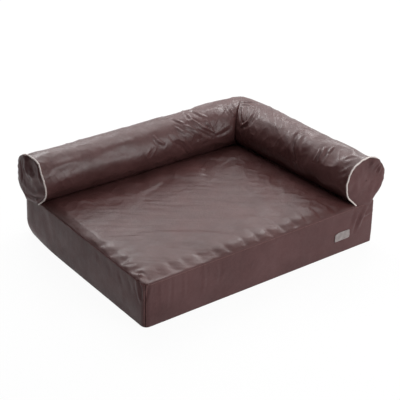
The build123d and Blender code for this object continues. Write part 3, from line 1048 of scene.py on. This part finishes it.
def section(bolster, centre, radius, drop, turns, necks):
    """A row of points round a section, from foot to foot, and its outward offsets."""
    foot = foot_of(radius, drop)
    touch = (radius * math.cos(FIRST_TURN), radius * math.sin(FIRST_TURN))
    low_a = foot + (touch[0] - foot) * necks
    low_b = -drop + (touch[1] + drop) * necks
    a = np.concatenate([low_a, radius * np.cos(turns), -low_a[::-1]])
    b = np.concatenate([low_b, radius * np.sin(turns), low_b[::-1]])
    return centre + np.outer(a, bolster.outward) + np.outer(b, UP), a


def round_lines(turn_count, neck_count):
    """Even turns round a section, places up its neck, and the measure of both."""
    turns = np.linspace(FIRST_TURN, LAST_TURN, turn_count)
    necks = np.linspace(0, 1, neck_count)[:-1]
    return turns, necks, measure_round(turns, necks)


def measure_round(turns, necks):
    """A measure that grows steadily round a section, from foot to foot, and is its turn."""
    first = FIRST_TURN - NECK_SPAN * (1 - necks)
    last = LAST_TURN + NECK_SPAN * (1 - necks[::-1])
    return np.concatenate([first, turns, last])


def centre_and_radius(bolster, share):
    """A bolster's axis and radius at a share of its run from the free end."""
    centre = bolster.end + (corner_centre - bolster.end) * share
    growth = (CORNER_RADIUS - bolster.radius) * share
    return centre, bolster.radius + growth + BOLSTER_SWELL * math.sin(math.pi * share)


# Half the width of a zip as a turn, and the lines next to its middle and its edges
tape_angle = 10.0 / CORNER_RADIUS
slot_lines = np.array((0, 0.9, 1.0, 1.09, 1.18)) * tape_angle


def roll_grid(bolster, draw_in=0.0, step=ROLL_STEP):
    """A bolster's surface: one row of points round each place along it."""
    places = spaced(bolster.run, step, ROLL_EDGES) / bolster.run
    # close lines at the zip's edges
    free = np.linspace(1.5 * tape_angle, LAST_TURN, round(LAST_TURN / ROUND_STEP))
    low = np.linspace(FIRST_TURN, -1.5 * tape_angle, 11)[:-1]
    turns = np.concatenate([low, -slot_lines[::-1], slot_lines[1:], free])
    necks = np.linspace(0, 1, 14)[:-1]
    rows = []
    for share in places:
        centre, radius = centre_and_radius(bolster, share)
        drop = centre[2] - seat_level - draw_in
        row, a = section(bolster, centre, radius - draw_in, drop, turns, necks)
        rows.append(row + np.outer(a * share, bolster.along))
    return np.array(rows), places, measure_round(turns, necks)


# Where the photograph shows each end's piped seam, from its top down to its foot
END_SEAMS = {
    "back_bolster": (
        (27.8, 156.1),
        (33.0, 159.4),
        (38.2, 164.5),
        (38.9, 167.2),
        (40.8, 174.2),
        (43.2, 181.0),
        (43.9, 185.0),
        (45.6, 191.8),
        (45.5, 196.0),
        (43.5, 200.3),
    ),
    "side_bolster": (
        (374.2, 158.1),
        (370.0, 158.1),
        (361.5, 161.5),
        (356.2, 166.5),
        (351.9, 172.3),
        (347.7, 184.6),
        (347.8, 190.0),
        (349.2, 198.1),
        (353.1, 201.9),
    ),
}


def radial_ways(bolster, points):
    """Unit ways out from a bolster's axis, square to it."""
    ways = points - bolster.end
    return unit(ways - np.expand_dims(ways @ bolster.along, -1) * bolster.along)


def seam_table(bolster):
    """How far an end's seam moves along and outwards, by its measure round."""
    turns, necks, measure = round_lines(240, 30)
    drop = bolster.end[2] - seat_level
    line, _ = section(bolster, bolster.end, bolster.radius, drop, turns, necks)
    here = np.stack(to_pixels(line), axis=1)
    further = np.stack(to_pixels(line - bolster.along), axis=1) - here
    wider = np.stack(to_pixels(line + radial_ways(bolster, line)), axis=1) - here
    table = []
    # only the part that is seen moves, and less where its pixels say little
    for pixel in END_SEAMS[bolster.name]:
        off = np.where(measure > 1.2, np.linalg.norm(here - pixel, axis=1), np.inf)
        at = int(np.argmin(off))
        pull = np.stack([further[at], wider[at]], axis=1)
        damped = pull.T @ pull + 0.004 * np.eye(2)
        move = np.linalg.solve(damped, pull.T @ (np.array(pixel) - here[at]))
        table.append((measure[at], *np.clip(move, -9, 9)))
    table.sort()
    return np.array([(table[0][0] - 0.5, 0, 0)] + table + [(LAST_TURN + NECK_SPAN, 0, 0)])


seam_tables = {bolster.name: seam_table(bolster) for bolster in bolsters}


def seam_move(bolster, points, measure):
    """The end seam's wave, as a move of each point at a measure round."""
    table = seam_tables[bolster.name]
    further = np.interp(measure, table[:, 0], table[:, 1])
    wider = np.interp(measure, table[:, 0], table[:, 2])
    hidden = ease((1.4 - measure) / 0.5)
    further = further + hidden * 1.2 * noise(measure * 4, 0.5, 230)
    return further[..., None] * -bolster.along + wider[..., None] * radial_ways(bolster, points)


def end_slump(bolster, points):
    """The back bolster's slack end: it hangs squarely over the edge at its far side."""
    if bolster is side_bolster:
        return np.zeros_like(points)
    out = (points - bolster.end) @ bolster.outward
    along = np.clip((points - bolster.end) @ bolster.along, 0, None)
    low = bell(points[..., 2] - seat_level - 30, 26)
    high = bell(points[..., 2] - bolster.end[2] - 50, 22)
    amount = (13 * low + 4 * high) * ease((out - 4) / 36) * bell(along, 90)
    return amount[..., None] * bolster.outward


def mitre_droop(before, heights):
    """Both bolsters swell before the mitre and droop into it."""
    upper = ease((heights - corner_centre[2] + 10) / 50)
    drop = -7.5 * np.exp(-np.clip(before, 0, None) / 55) + 1.6 * bell(before - 150, 80)
    return (upper * drop)[..., None] * UP


def slack_roll(bolster):
    """A bolster's sleeve after its slack has settled, with its places along and round."""
    grid, places, around = roll_grid(bolster)
    length = (corner_centre - bolster.end) @ bolster.along
    along = (grid - bolster.end) @ bolster.along
    measure = np.broadcast_to(around, along.shape)
    share = places[:, None]
    own_run = np.where(share > 0, along / np.maximum(share, TINY), length)
    wave = seam_move(bolster, grid, measure) * bell(along, 26)[..., None]
    grid = grid + mitre_droop(own_run - along, grid[..., 2])
    grid = grid + end_slump(bolster, grid) + wave
    place = grid @ bolster.along
    in_zip = (place > bolster.zip[0] - ZIP_MARGIN) & (place < bolster.zip[1] + ZIP_MARGIN)
    held = (np.abs(measure) * bolster.radius < ZIP_HELD) & in_zip
    held[:3] = held[-3:] = True
    held[:, :3] = held[:, -3:] = True
    middle, breadth = (length - 150, 130) if bolster is back_bolster else (110, 100)
    loose = 0.35 + 0.65 * bell(along - middle, breadth)
    seed = 60 + bolsters.index(bolster)
    moves = slack_moves(grid, held, ROLL_GROWTH, ROLL_PRESSURE, ROLL_CAP, seed)
    grid = grid + loose[..., None] * moves
    return Surface(grid, grid.mean(axis=1, keepdims=True)), places, around


# Creases of the bolsters, each with its path by pixel, its width and its height
ROLL_CREASES = {
    "back_bolster": (
        (((187.6, 109.9), (193, 111.5), (199.8, 114.5), (206, 117)), 4.0, 2.2),
        (((181, 111), (188, 117.5), (199, 122.5)), 4.5, -1.6),
        (((184.5, 113), (192, 120), (201.8, 126.7), (209, 130), (217.1, 132.9)), 4.0, 3.2),
        (((188, 123), (197, 129.5), (206, 134.5), (213, 138)), 4.5, -2.6),
        (((206, 120), (208.5, 124.5), (213, 130.8)), 3.6, 2.6),
        (((184.5, 125.2), (194.7, 128.8), (200.8, 136.4)), 3.6, 3.0),
        (((186, 129.5), (193, 133.5), (197.5, 140)), 4.0, -2.4),
        (((171.2, 118.6), (177, 120.5), (183.5, 123.7)), 4.0, 1.8),
        (((175.3, 127.8), (180, 131), (184.5, 132.9)), 3.6, 2.4),
        (((173.3, 133.9), (178, 138.5), (183.5, 141), (191.6, 150.2)), 4.2, 2.2),
        (((170, 136), (174, 142), (181, 146.5), (187, 153)), 5.0, -2.0),
        (((153.9, 136.4), (156.9, 140), (164, 143.6)), 3.4, 2.2),
        (((152, 139.5), (156, 143.5), (163, 147)), 4.0, -1.4),
        (((227.3, 105.3), (230, 110), (233.5, 115.5)), 3.4, 2.8),
        (((230.5, 104.0), (233.5, 108), (236, 113)), 3.4, -2.6),
        (((222, 106), (225.5, 111), (229.5, 117.5)), 4.0, -1.8),
        (((214, 137), (221, 134), (230, 128)), 7.0, -1.6),
        (((200, 146), (210, 141), (222, 139)), 8.0, -1.2),
        (((56, 166), (66, 163), (76, 160)), 12.0, 1.6),
        (((50, 176), (66, 171), (84, 166)), 12.0, -1.2),
        (((104, 148), (122, 143), (140, 139)), 13.0, 1.2),
        (((100, 159), (120, 154), (140, 150)), 12.0, -1.0),
    ),
    "side_bolster": (
        (((239.8, 102.6), (245, 102.2), (252.9, 102.8), (258, 104.5)), 3.8, 2.6),
        (((240, 105.8), (246, 105.6), (253, 107)), 3.6, -2.0),
        (((243.7, 108.4), (243.2, 114), (243.7, 120.6)), 3.4, 2.4),
        (((240.8, 108), (240.6, 115), (241, 122)), 3.2, -2.2),
        (((247, 108), (246.6, 114), (246, 120)), 3.4, -1.8),
        (((255.9, 108.4), (252.5, 115), (248.8, 121.6), (241.6, 126.2)), 3.8, 2.8),
        (((259, 111), (255.5, 118), (251, 124.5)), 4.4, -1.8),
        (((242.0, 127.5), (245.5, 127), (249.5, 125.2)), 4.5, -1.3),
        (((301, 131), (296, 135), (293.5, 142), (293.5, 151), (296, 160)), 6.0, -3.0),
        (((304.5, 134), (300, 139), (298.4, 146), (299.5, 155)), 6.0, 1.7),
        (((289, 133), (288, 142), (289, 152)), 8.0, 1.4),
        (((324.7, 148.2), (322.5, 154), (318.6, 161.4)), 3.8, 2.6),
        (((328, 148.5), (325.6, 154.5), (322, 162)), 3.8, -2.2),
        (((319.6, 150), (317.6, 155), (314.8, 160)), 3.8, 2.0),
        (((332.9, 147.1), (331.8, 149.4), (329.8, 152.2)), 3.4, 2.0),
        (((300, 127.5), (309, 129), (318, 133.5)), 5.0, 1.8),
        (((345, 160), (350, 158), (357, 157)), 6.0, -1.2),
        (((340, 173), (345, 170), (349, 168)), 6.0, 1.0),
        (((262, 120), (272, 124), (284, 130)), 14.0, 1.4),
        (((256, 132), (268, 139), (282, 146)), 14.0, -1.4),
    ),
}

for bolster in bolsters:
    surface, places, around = slack_roll(bolster)
    surface.strokes(ROLL_CREASES[bolster.name], 0.3, CREASE_WIDTH, CREASE_HEIGHT)
    run = bolster.run
    s, turn = np.meshgrid(places * run, around, indexing="ij")
    arc = turn * bolster.radius
    seed = 100 + 20 * bolsters.index(bolster)
    away_end = ease(s / 10) * ease((run - s) / 8)
    surface.lift *= ease((run - s) / 5)
    sag = 1.5 * rough(s / 150, arc / 120, seed)
    wrinkles = noise((s + 0.5 * arc) / 26, (arc - 0.4 * s) / 70, seed + 3)
    wrinkles = wrinkles * (0.35 + 0.4 * noise(s / 90, arc / 90, seed + 4))
    gathers = noise(s / 60, arc / 13, seed + 5)
    crease = 1 - np.abs(noise((s + 0.8 * arc) / 34, (arc - 0.5 * s) / 52, seed + 8))
    crease_two = 1 - np.abs(noise((s - 0.6 * arc) / 26, (arc + 0.3 * s) / 40, seed + 9))
    crumples = crease**5 + 0.7 * crease_two**6
    patchy = ease(0.5 + 0.9 * noise(s / 80, arc / 70, seed + 10))
    surface.lift += away_end * (sag + 0.9 * wrinkles + 1.5 * crumples * patchy)
    surface.lift += away_end * 0.35 * rough(s / 17, arc / 15, seed + 11)
    surface.lift += 1.5 * np.exp(-((run - s) / 70)) * gathers * ease((run - s) / 6)
    surface.lift += 0.9 * np.exp(-(s / 26)) * noise(s / 40, arc / 11, seed + 6) * ease(s / 5)
    # seam at the end and the mitre: both drawn in a little
    groove = 2.6 - 2.2 * ease((surface.points[:, :, 2] - corner_centre[2]) / 50)
    surface.lift -= 1.9 * bell(s, 2.2) + groove * bell(run - s, 4)
    # at the mitre both sleeves are drawn in one way, so that their edges meet
    lean = np.clip(turn, FIRST_TURN, LAST_TURN)[:, :, None]
    joint_way = unit(np.cos(lean) * (bolster.along + bolster.outward) + np.sin(lean) * UP)
    share = ease(1 - (run - s) / 16)[:, :, None]
    surface.normals = surface.normals * (1 - share) + joint_way * share
    # the zip's place is flat, and the cover dips under its tapes
    place = surface.points @ bolster.along
    surface.lift *= 1 - within(place, *bolster.zip, 22, 18) * ease((30 - np.abs(arc)) / 16)
    under = within(place, *bolster.zip, 1, 2.6) * ease((10.9 - np.abs(arc)) / 1.2)
    surface.lift -= ROLL_ZIP_SINK * under
    # and lies lower where a pull rests beyond its zip's end
    beyond = within(place, *bolster.zip, 20, 10) * ease((12 - np.abs(arc)) / 6)
    surface.lift -= 2.2 * beyond * (1 - under)
    # the foot stays where it is sewn down
    surface.lift *= ease(np.minimum(around - around[0], around[-1] - around) / (0.5 * NECK_SPAN))
    points = surface.shaped()
    piece = grid_piece(f"{bolster.name}_sleeve", points, roll_leather_painted_darker, surface.flipped)
    stand_in(f"{bolster.name}_cover")
    cover_sheet(piece, LEATHER)
    for side, offset in (("upper", ZIP_STITCHES_OFF), ("lower", -ZIP_STITCHES_OFF)):
        column = int(np.argmin(np.abs(around * bolster.radius - offset)))
        at = place[:, column]
        beside = np.nonzero((at > bolster.zip[0]) & (at < bolster.zip[1]))[0]
        rows = slice(beside[0], beside[-1] + 1)
        stitches_on(f"{bolster.name}_zip_stitches_{side}", surface, 0.0, rows, column)


# Ends of the bolsters

# Dents and gathers of the ends, each with its path by pixel, its width and its height
END_DENTS = {
    "back_bolster": (
        (((25.5, 161), (26, 168), (27.5, 175)), 6, 3.4),
        (((30, 160.5), (31.5, 167), (34.0, 173)), 15, -5.6),
        (((35.5, 166), (37, 173)), 8, -2.2),
        (((28, 174.5), (32, 177.5), (38, 177)), 6, 2.4),
        (((20.9, 160), (21.6, 171), (22.4, 182)), 2.8, -3.4),
        (((28, 194.8), (32.5, 199), (37, 203)), 3.2, -3.2),
        (((37.5, 168), (39, 175), (41, 184)), 4, 1.6),
        (((29, 195.2), (35, 197.6), (42.5, 196.5)), 4.5, -3.2),
        (((28, 191.5), (35, 194), (42, 192)), 6, 2.6),
        (((24, 183), (27, 187.5), (31, 190)), 6, 1.4),
    ),
    "side_bolster": (
        (((375.5, 169), (378, 165.5), (380, 163)), 3.4, 2.4),
        (((378, 173), (380, 168.5), (381, 166)), 3.4, 2.0),
        (((376.5, 172), (379, 167.5)), 3.2, -2.4),
        (((372, 165), (374, 161.5)), 3.4, 1.8),
        (((368.5, 166.5), (370, 163)), 3.4, -1.6),
        (((355, 176), (357, 184), (358, 192)), 8, 1.0),
        (((374, 180), (372, 188), (369, 196)), 8, 1.6),
        (((361, 197), (366, 193), (371, 191.5)), 6, 1.2),
    ),
}


def make_end(bolster, seed):
    """The puffed end panel, in rings from its piped edge to its middle."""
    turns, necks, around = round_lines(110, 14)
    drop = bolster.end[2] - seat_level
    rows = []
    for share in np.sin(np.linspace(math.pi / 2, 0.02, END_RINGS)):
        centre = bolster.end - bolster.along * bolster.puff * math.sqrt(1 - share**2)
        rows.append(section(bolster, centre, bolster.radius * share, drop * share, turns, necks)[0])
    grid = np.array(rows)
    columns = len(around)
    rim, round_share = np.meshgrid(
        np.linspace(0, 1, END_RINGS), np.linspace(0, 1, columns), indexing="ij"
    )
    measure = np.broadcast_to(around, rim.shape)
    radial = radial_ways(bolster, grid)
    # the far side puffs out over its piping
    far = ease((1.55 - measure) / 0.45)
    puff_out = 7.5 * far * ease(rim / 0.12) * ease((0.8 - rim) / 0.6)
    spill = 4.2 * far * bell(rim - 0.1, 0.07)
    wave = seam_move(bolster, grid, measure) * bell(rim, 0.2)[..., None]
    grid = grid + end_slump(bolster, grid) * (1 - 0.6 * ease(rim / 0.8))[..., None]
    grid = grid + wave - puff_out[..., None] * bolster.along + spill[..., None] * radial
    surface = Surface(grid, bolster.end + bolster.along * 50)
    gathers = noise(round_share * 34, rim * 1.5, seed) * np.exp(-(rim / 0.16)) * ease(rim / 0.05)
    lumps = rough(grid[:, :, 2] / 34, grid @ bolster.outward / 26, seed + 1)
    surface.lift += (1.1 + 0.9 * far) * gathers + 1.6 * lumps * ease(rim / 0.3)
    surface.strokes(END_DENTS[bolster.name], 0.25)
    surface.lift -= 1.6 * bell(rim, 0.02)
    points = surface.shaped().reshape(-1, 3)
    centre = len(points)
    last = centre - columns
    points = np.concatenate([points, [points[last:].mean(axis=0)]])
    # a fan closes the middle, and a row of faces runs along the foot
    inner = list(range(last, centre))
    fan = [(b, centre, a) for a, b in zip(inner, inner[1:] + inner[:1])]
    first = range(0, centre, columns)
    seam = [(a + columns - 1, b + columns - 1, b, a) for a, b in zip(first, first[1:])]
    faces = grid_faces(END_RINGS, columns, surface.flipped)
    faces += [face[::-1] if surface.flipped else face for face in fan + seam]
    piece = make_mesh(f"{bolster.name}_puffed_end", points, faces, side_leather_painted_lighter)
    stand_in(f"{bolster.name}_end_panel")
    cover_sheet(piece, LEATHER)


def make_piping(bolster, seed):
    """The piping round an end, slightly wavy as it is gathered."""
    turns, necks, measure = round_lines(170, 22)
    reach = bolster.radius + PIPING_RADIUS + PIPING_GAP
    drop = bolster.end[2] - seat_level - 1.0
    path, _ = section(bolster, bolster.end, reach, drop, turns, necks)
    wave = 0.9 * noise(measure * 4.5, 0.5, seed + 8) + 0.5 * noise(measure * 9, 0.5, seed + 7)
    path = path + end_slump(bolster, path) + seam_move(bolster, path, measure)
    path = path + np.outer(wave, bolster.along) + radial_ways(bolster, path) * wave[:, None]
    piece = tube(f"{bolster.name}_piping_cord", path, PIPING_PLUMP * PIPING_RADIUS, piping_leather)
    stand_in(f"{bolster.name}_piping")


for index, bolster in enumerate(bolsters):
    make_end(bolster, 200 + 20 * index)
    make_piping(bolster, 200 + 20 * index)


# The patch, bare, with a turned edge

patch_low, patch_high = node_box("label_patch")
px, pz = np.meshgrid(
    np.linspace(patch_low[0], patch_high[0], 45), np.linspace(patch_low[2], patch_high[2], 25)
)
across_share = (px - patch_low[0]) / (patch_high[0] - patch_low[0])
up_share = (pz - patch_low[2]) / (patch_high[2] - patch_low[2])
across_edge = np.abs(2 * across_share - 1)
sag = 2.6 * across_edge**6 + 2.4 * (1 - across_share) ** 3 + noise(across_share * 6, 0.5, 301)
pz = pz - up_share**2 * sag + 0.9 * (1 - up_share) ** 2 * across_edge**8
px = px + (0.5 - across_share) * 1.6 * (2 * up_share - 1) ** 6
edge = np.minimum(
    np.minimum(across_share, 1 - across_share) * 55, np.minimum(up_share, 1 - up_share) * 28
)
# it lies on the front band, half as uneven as that is
front_points = front[0].points
rows = np.abs(front_points[:, front_points.shape[1] // 2, 2, None, None] - pz).argmin(axis=0)
columns = np.abs(front_points[0, :, 0, None, None] - px).argmin(axis=0)
front_out = front[0].shaped()[rows, columns, 1]
front_out = front_out.mean() + 0.5 * (front_out - front_out.mean())
lift = 1.3 + 0.9 * ease(edge / 2.0) + 0.5 * noise(across_share * 4, up_share * 3, 302)
patch_points = np.stack([px + PATCH_ACROSS, front_out - lift, pz + PATCH_UP], axis=2)
patch_piece = grid_piece("bare_patch", patch_points, patch_weave)
patch_piece.data.flip_normals()
give_thickness(patch_piece, PATCH_CLOTH)
stand_in("label_patch")


# Fillings, a little smaller than the covers that hide them


def filling_block(name, low, high, material, crowned=False):
    """A block of foam with the mattress's outline, and with its crown if it is crowned."""
    rows = np.linspace(-half_width + FILL_INSET, half_width - FILL_INSET, FOAM_ROWS)
    x, y, _ = outline_grid(rows, np.linspace(0, 1, FOAM_COLUMNS), FILL_INSET, 4)
    top = np.full_like(x, high)
    if crowned:
        top = high + crown_at(x, y, inset=FOAM_INSET) - 3
    points = [np.stack([x, y, z], axis=2).reshape(-1, 3) for z in (top, np.full_like(x, low))]
    count = FOAM_ROWS * FOAM_COLUMNS
    faces = grid_faces(FOAM_ROWS, FOAM_COLUMNS, flipped=True)
    faces += (np.array(faces)[:, ::-1] + count).tolist()
    lines = np.arange(count).reshape(FOAM_ROWS, FOAM_COLUMNS)
    rim = np.concatenate([lines[0], lines[1:, -1], lines[-1, -2::-1], lines[-2:0:-1, 0]]).tolist()
    faces += [(b, a, a + count, b + count) for a, b in zip(rim, rim[1:] + rim[:1])]
    return make_mesh(name, tuck_low_corner(np.concatenate(points)), faces, material, smooth=False)


foam_split = node_box("foam_support_core")[1][2]
core = filling_block("support_foam_block", FOAM_INSET, foam_split - FOAM_GAP, support_foam)
layer = filling_block(
    "memory_foam_slab", foam_split + FOAM_GAP, seam_height - FOAM_INSET, memory_foam, crowned=True
)
stand_in("foam_support_core")
stand_in("foam_memory_layer")

# a filling leaves out its sleeve's first and last lines, and is coarser round
for bolster in bolsters:
    grid = roll_grid(bolster, FILL_INSET, FILL_STEP)[0][2:-3, ::3]
    surface = Surface(grid, grid.mean(axis=1, keepdims=True))
    grid[:, :, 2] = np.maximum(grid[:, :, 2], seat_level + FILL_ABOVE_SEAT)
    faces = grid_faces(*grid.shape[:2], surface.flipped, closed=True)
    faces += end_caps(*grid.shape[:2], surface.flipped)
    piece = make_mesh(f"{bolster.name}_filling", grid.reshape(-1, 3), faces, fleece)
    stand_in(f"{bolster.name}_cushion")


# Carried-over CAD nodes get their own materials

slot_material = {
    "base_fabric": base_fabric,
    "zip_tape": tape_fabric,
    "zip_teeth": teeth_plastic,
    "zip_metal": zip_metal,
}
for row in frame["record"]["subparts"]:
    node = frame["nodes"][row["node"]]
    if row["material_slot"] in slot_material and not node.hide_render:
        node.data.materials.clear()
        node.data.materials.append(slot_material[row["material_slot"]])

for piece in list(bpy.context.scene.objects):
    if piece.type == "MESH" and "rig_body" not in piece:
        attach(piece, "bed")


# Floor, light and camera

floor_look = Look("floor", (0.8, 0.8, 0.8), 0.9, 0.1)
glow = floor_look.add("ShaderNodeEmission", Color=(1, 1, 1, 1), Strength=FLOOR_GLOW)
# the floor glows white where it is looked at, and a tenth of it takes the object's shadow
floor_surface = floor_look.mix(
    floor_look.math("MULTIPLY", floor_look.looked_at(), FLOOR_WHITE),
    floor_look.shader.outputs["BSDF"],
    glow.outputs["Emission"],
)
floor_look.links.new(floor_surface, floor_look.nodes["Material Output"].inputs["Surface"])
floor_points = [
    (FLOOR_HALF * x, FLOOR_HALF * y, FLOOR_LEVEL) for x, y in ((-1, -1), (1, -1), (1, 1), (-1, 1))
]
floor = make_mesh("floor", np.array(floor_points) / MM, [(0, 1, 2, 3)], floor_look.material)

world = bpy.data.worlds.new("studio")
bpy.context.scene.world = world
world.use_nodes = True
air = Tree(world.node_tree)
air.nodes.clear()
output = air.nodes.new("ShaderNodeOutputWorld")
studio = air.add("ShaderNodeBackground", Color=(1, 1, 1, 1), Strength=STUDIO_LIGHT)
white = air.add("ShaderNodeBackground", Strength=1)
sky = air.mix(air.looked_at(), studio.outputs["Background"], white.outputs["Background"])
air.links.new(sky, output.inputs["Surface"])


def place_item(item, place, side, up, back):
    """Stand a lamp or camera at a place in metres, turned by its own three ways."""
    bpy.context.scene.collection.objects.link(item)
    turn = Matrix(np.array((side, up, back)).T.tolist()).to_4x4()
    item.matrix_world = Matrix.Translation(place.tolist()) @ turn


# soft square lamps, aimed at the bed, in metres and watts
for name, place, size, power in (
    ("overhead softbox", (0.5, 1.1, 1.9), 2.0, 19),
    ("right back softbox", (1.7, 0.9, 1.45), 0.8, 12),
    ("left back softbox", (0.35, 2.0, 1.45), 0.8, 13),
    ("front fill", (1.0, -2.6, 1.2), 1.6, 25),
):
    light = bpy.data.lights.new(name, "AREA")
    light.size = size
    light.energy = power
    place = np.array(place)
    back = unit(place - LAMP_AIM)
    side = unit(np.cross((0, 1, 0.01), back))
    place_item(bpy.data.objects.new(name, light), place, side, np.cross(back, side), back)

# a black flag keeps light off the left side
flag_look = Look("black flag", (0.01, 0.01, 0.01), 1.0, 0.0)
flag_points = np.array(((-1.3, -1.6, 0), (-1.3, 1.9, 0), (-1.3, 1.9, 1.5), (-1.3, -1.6, 1.5)))
flag = make_mesh("flag", flag_points / MM, [(0, 1, 2, 3)], flag_look.material)
flag.visible_camera = False

camera_data = bpy.data.cameras.new("camera")
camera_data.sensor_width = SENSOR
camera_data.lens = FOCAL_PIXELS / PICTURE * SENSOR
camera_data.clip_start = 0.1
camera_data.clip_end = 50
camera = bpy.data.objects.new("camera", camera_data)
place_item(camera, CAMERA_PLACE * MM, CAMERA_RIGHT, CAMERA_UP, CAMERA_BACK)
bpy.context.scene.camera = camera

view_settings = bpy.context.scene.view_settings
view_settings.view_transform = "Standard"
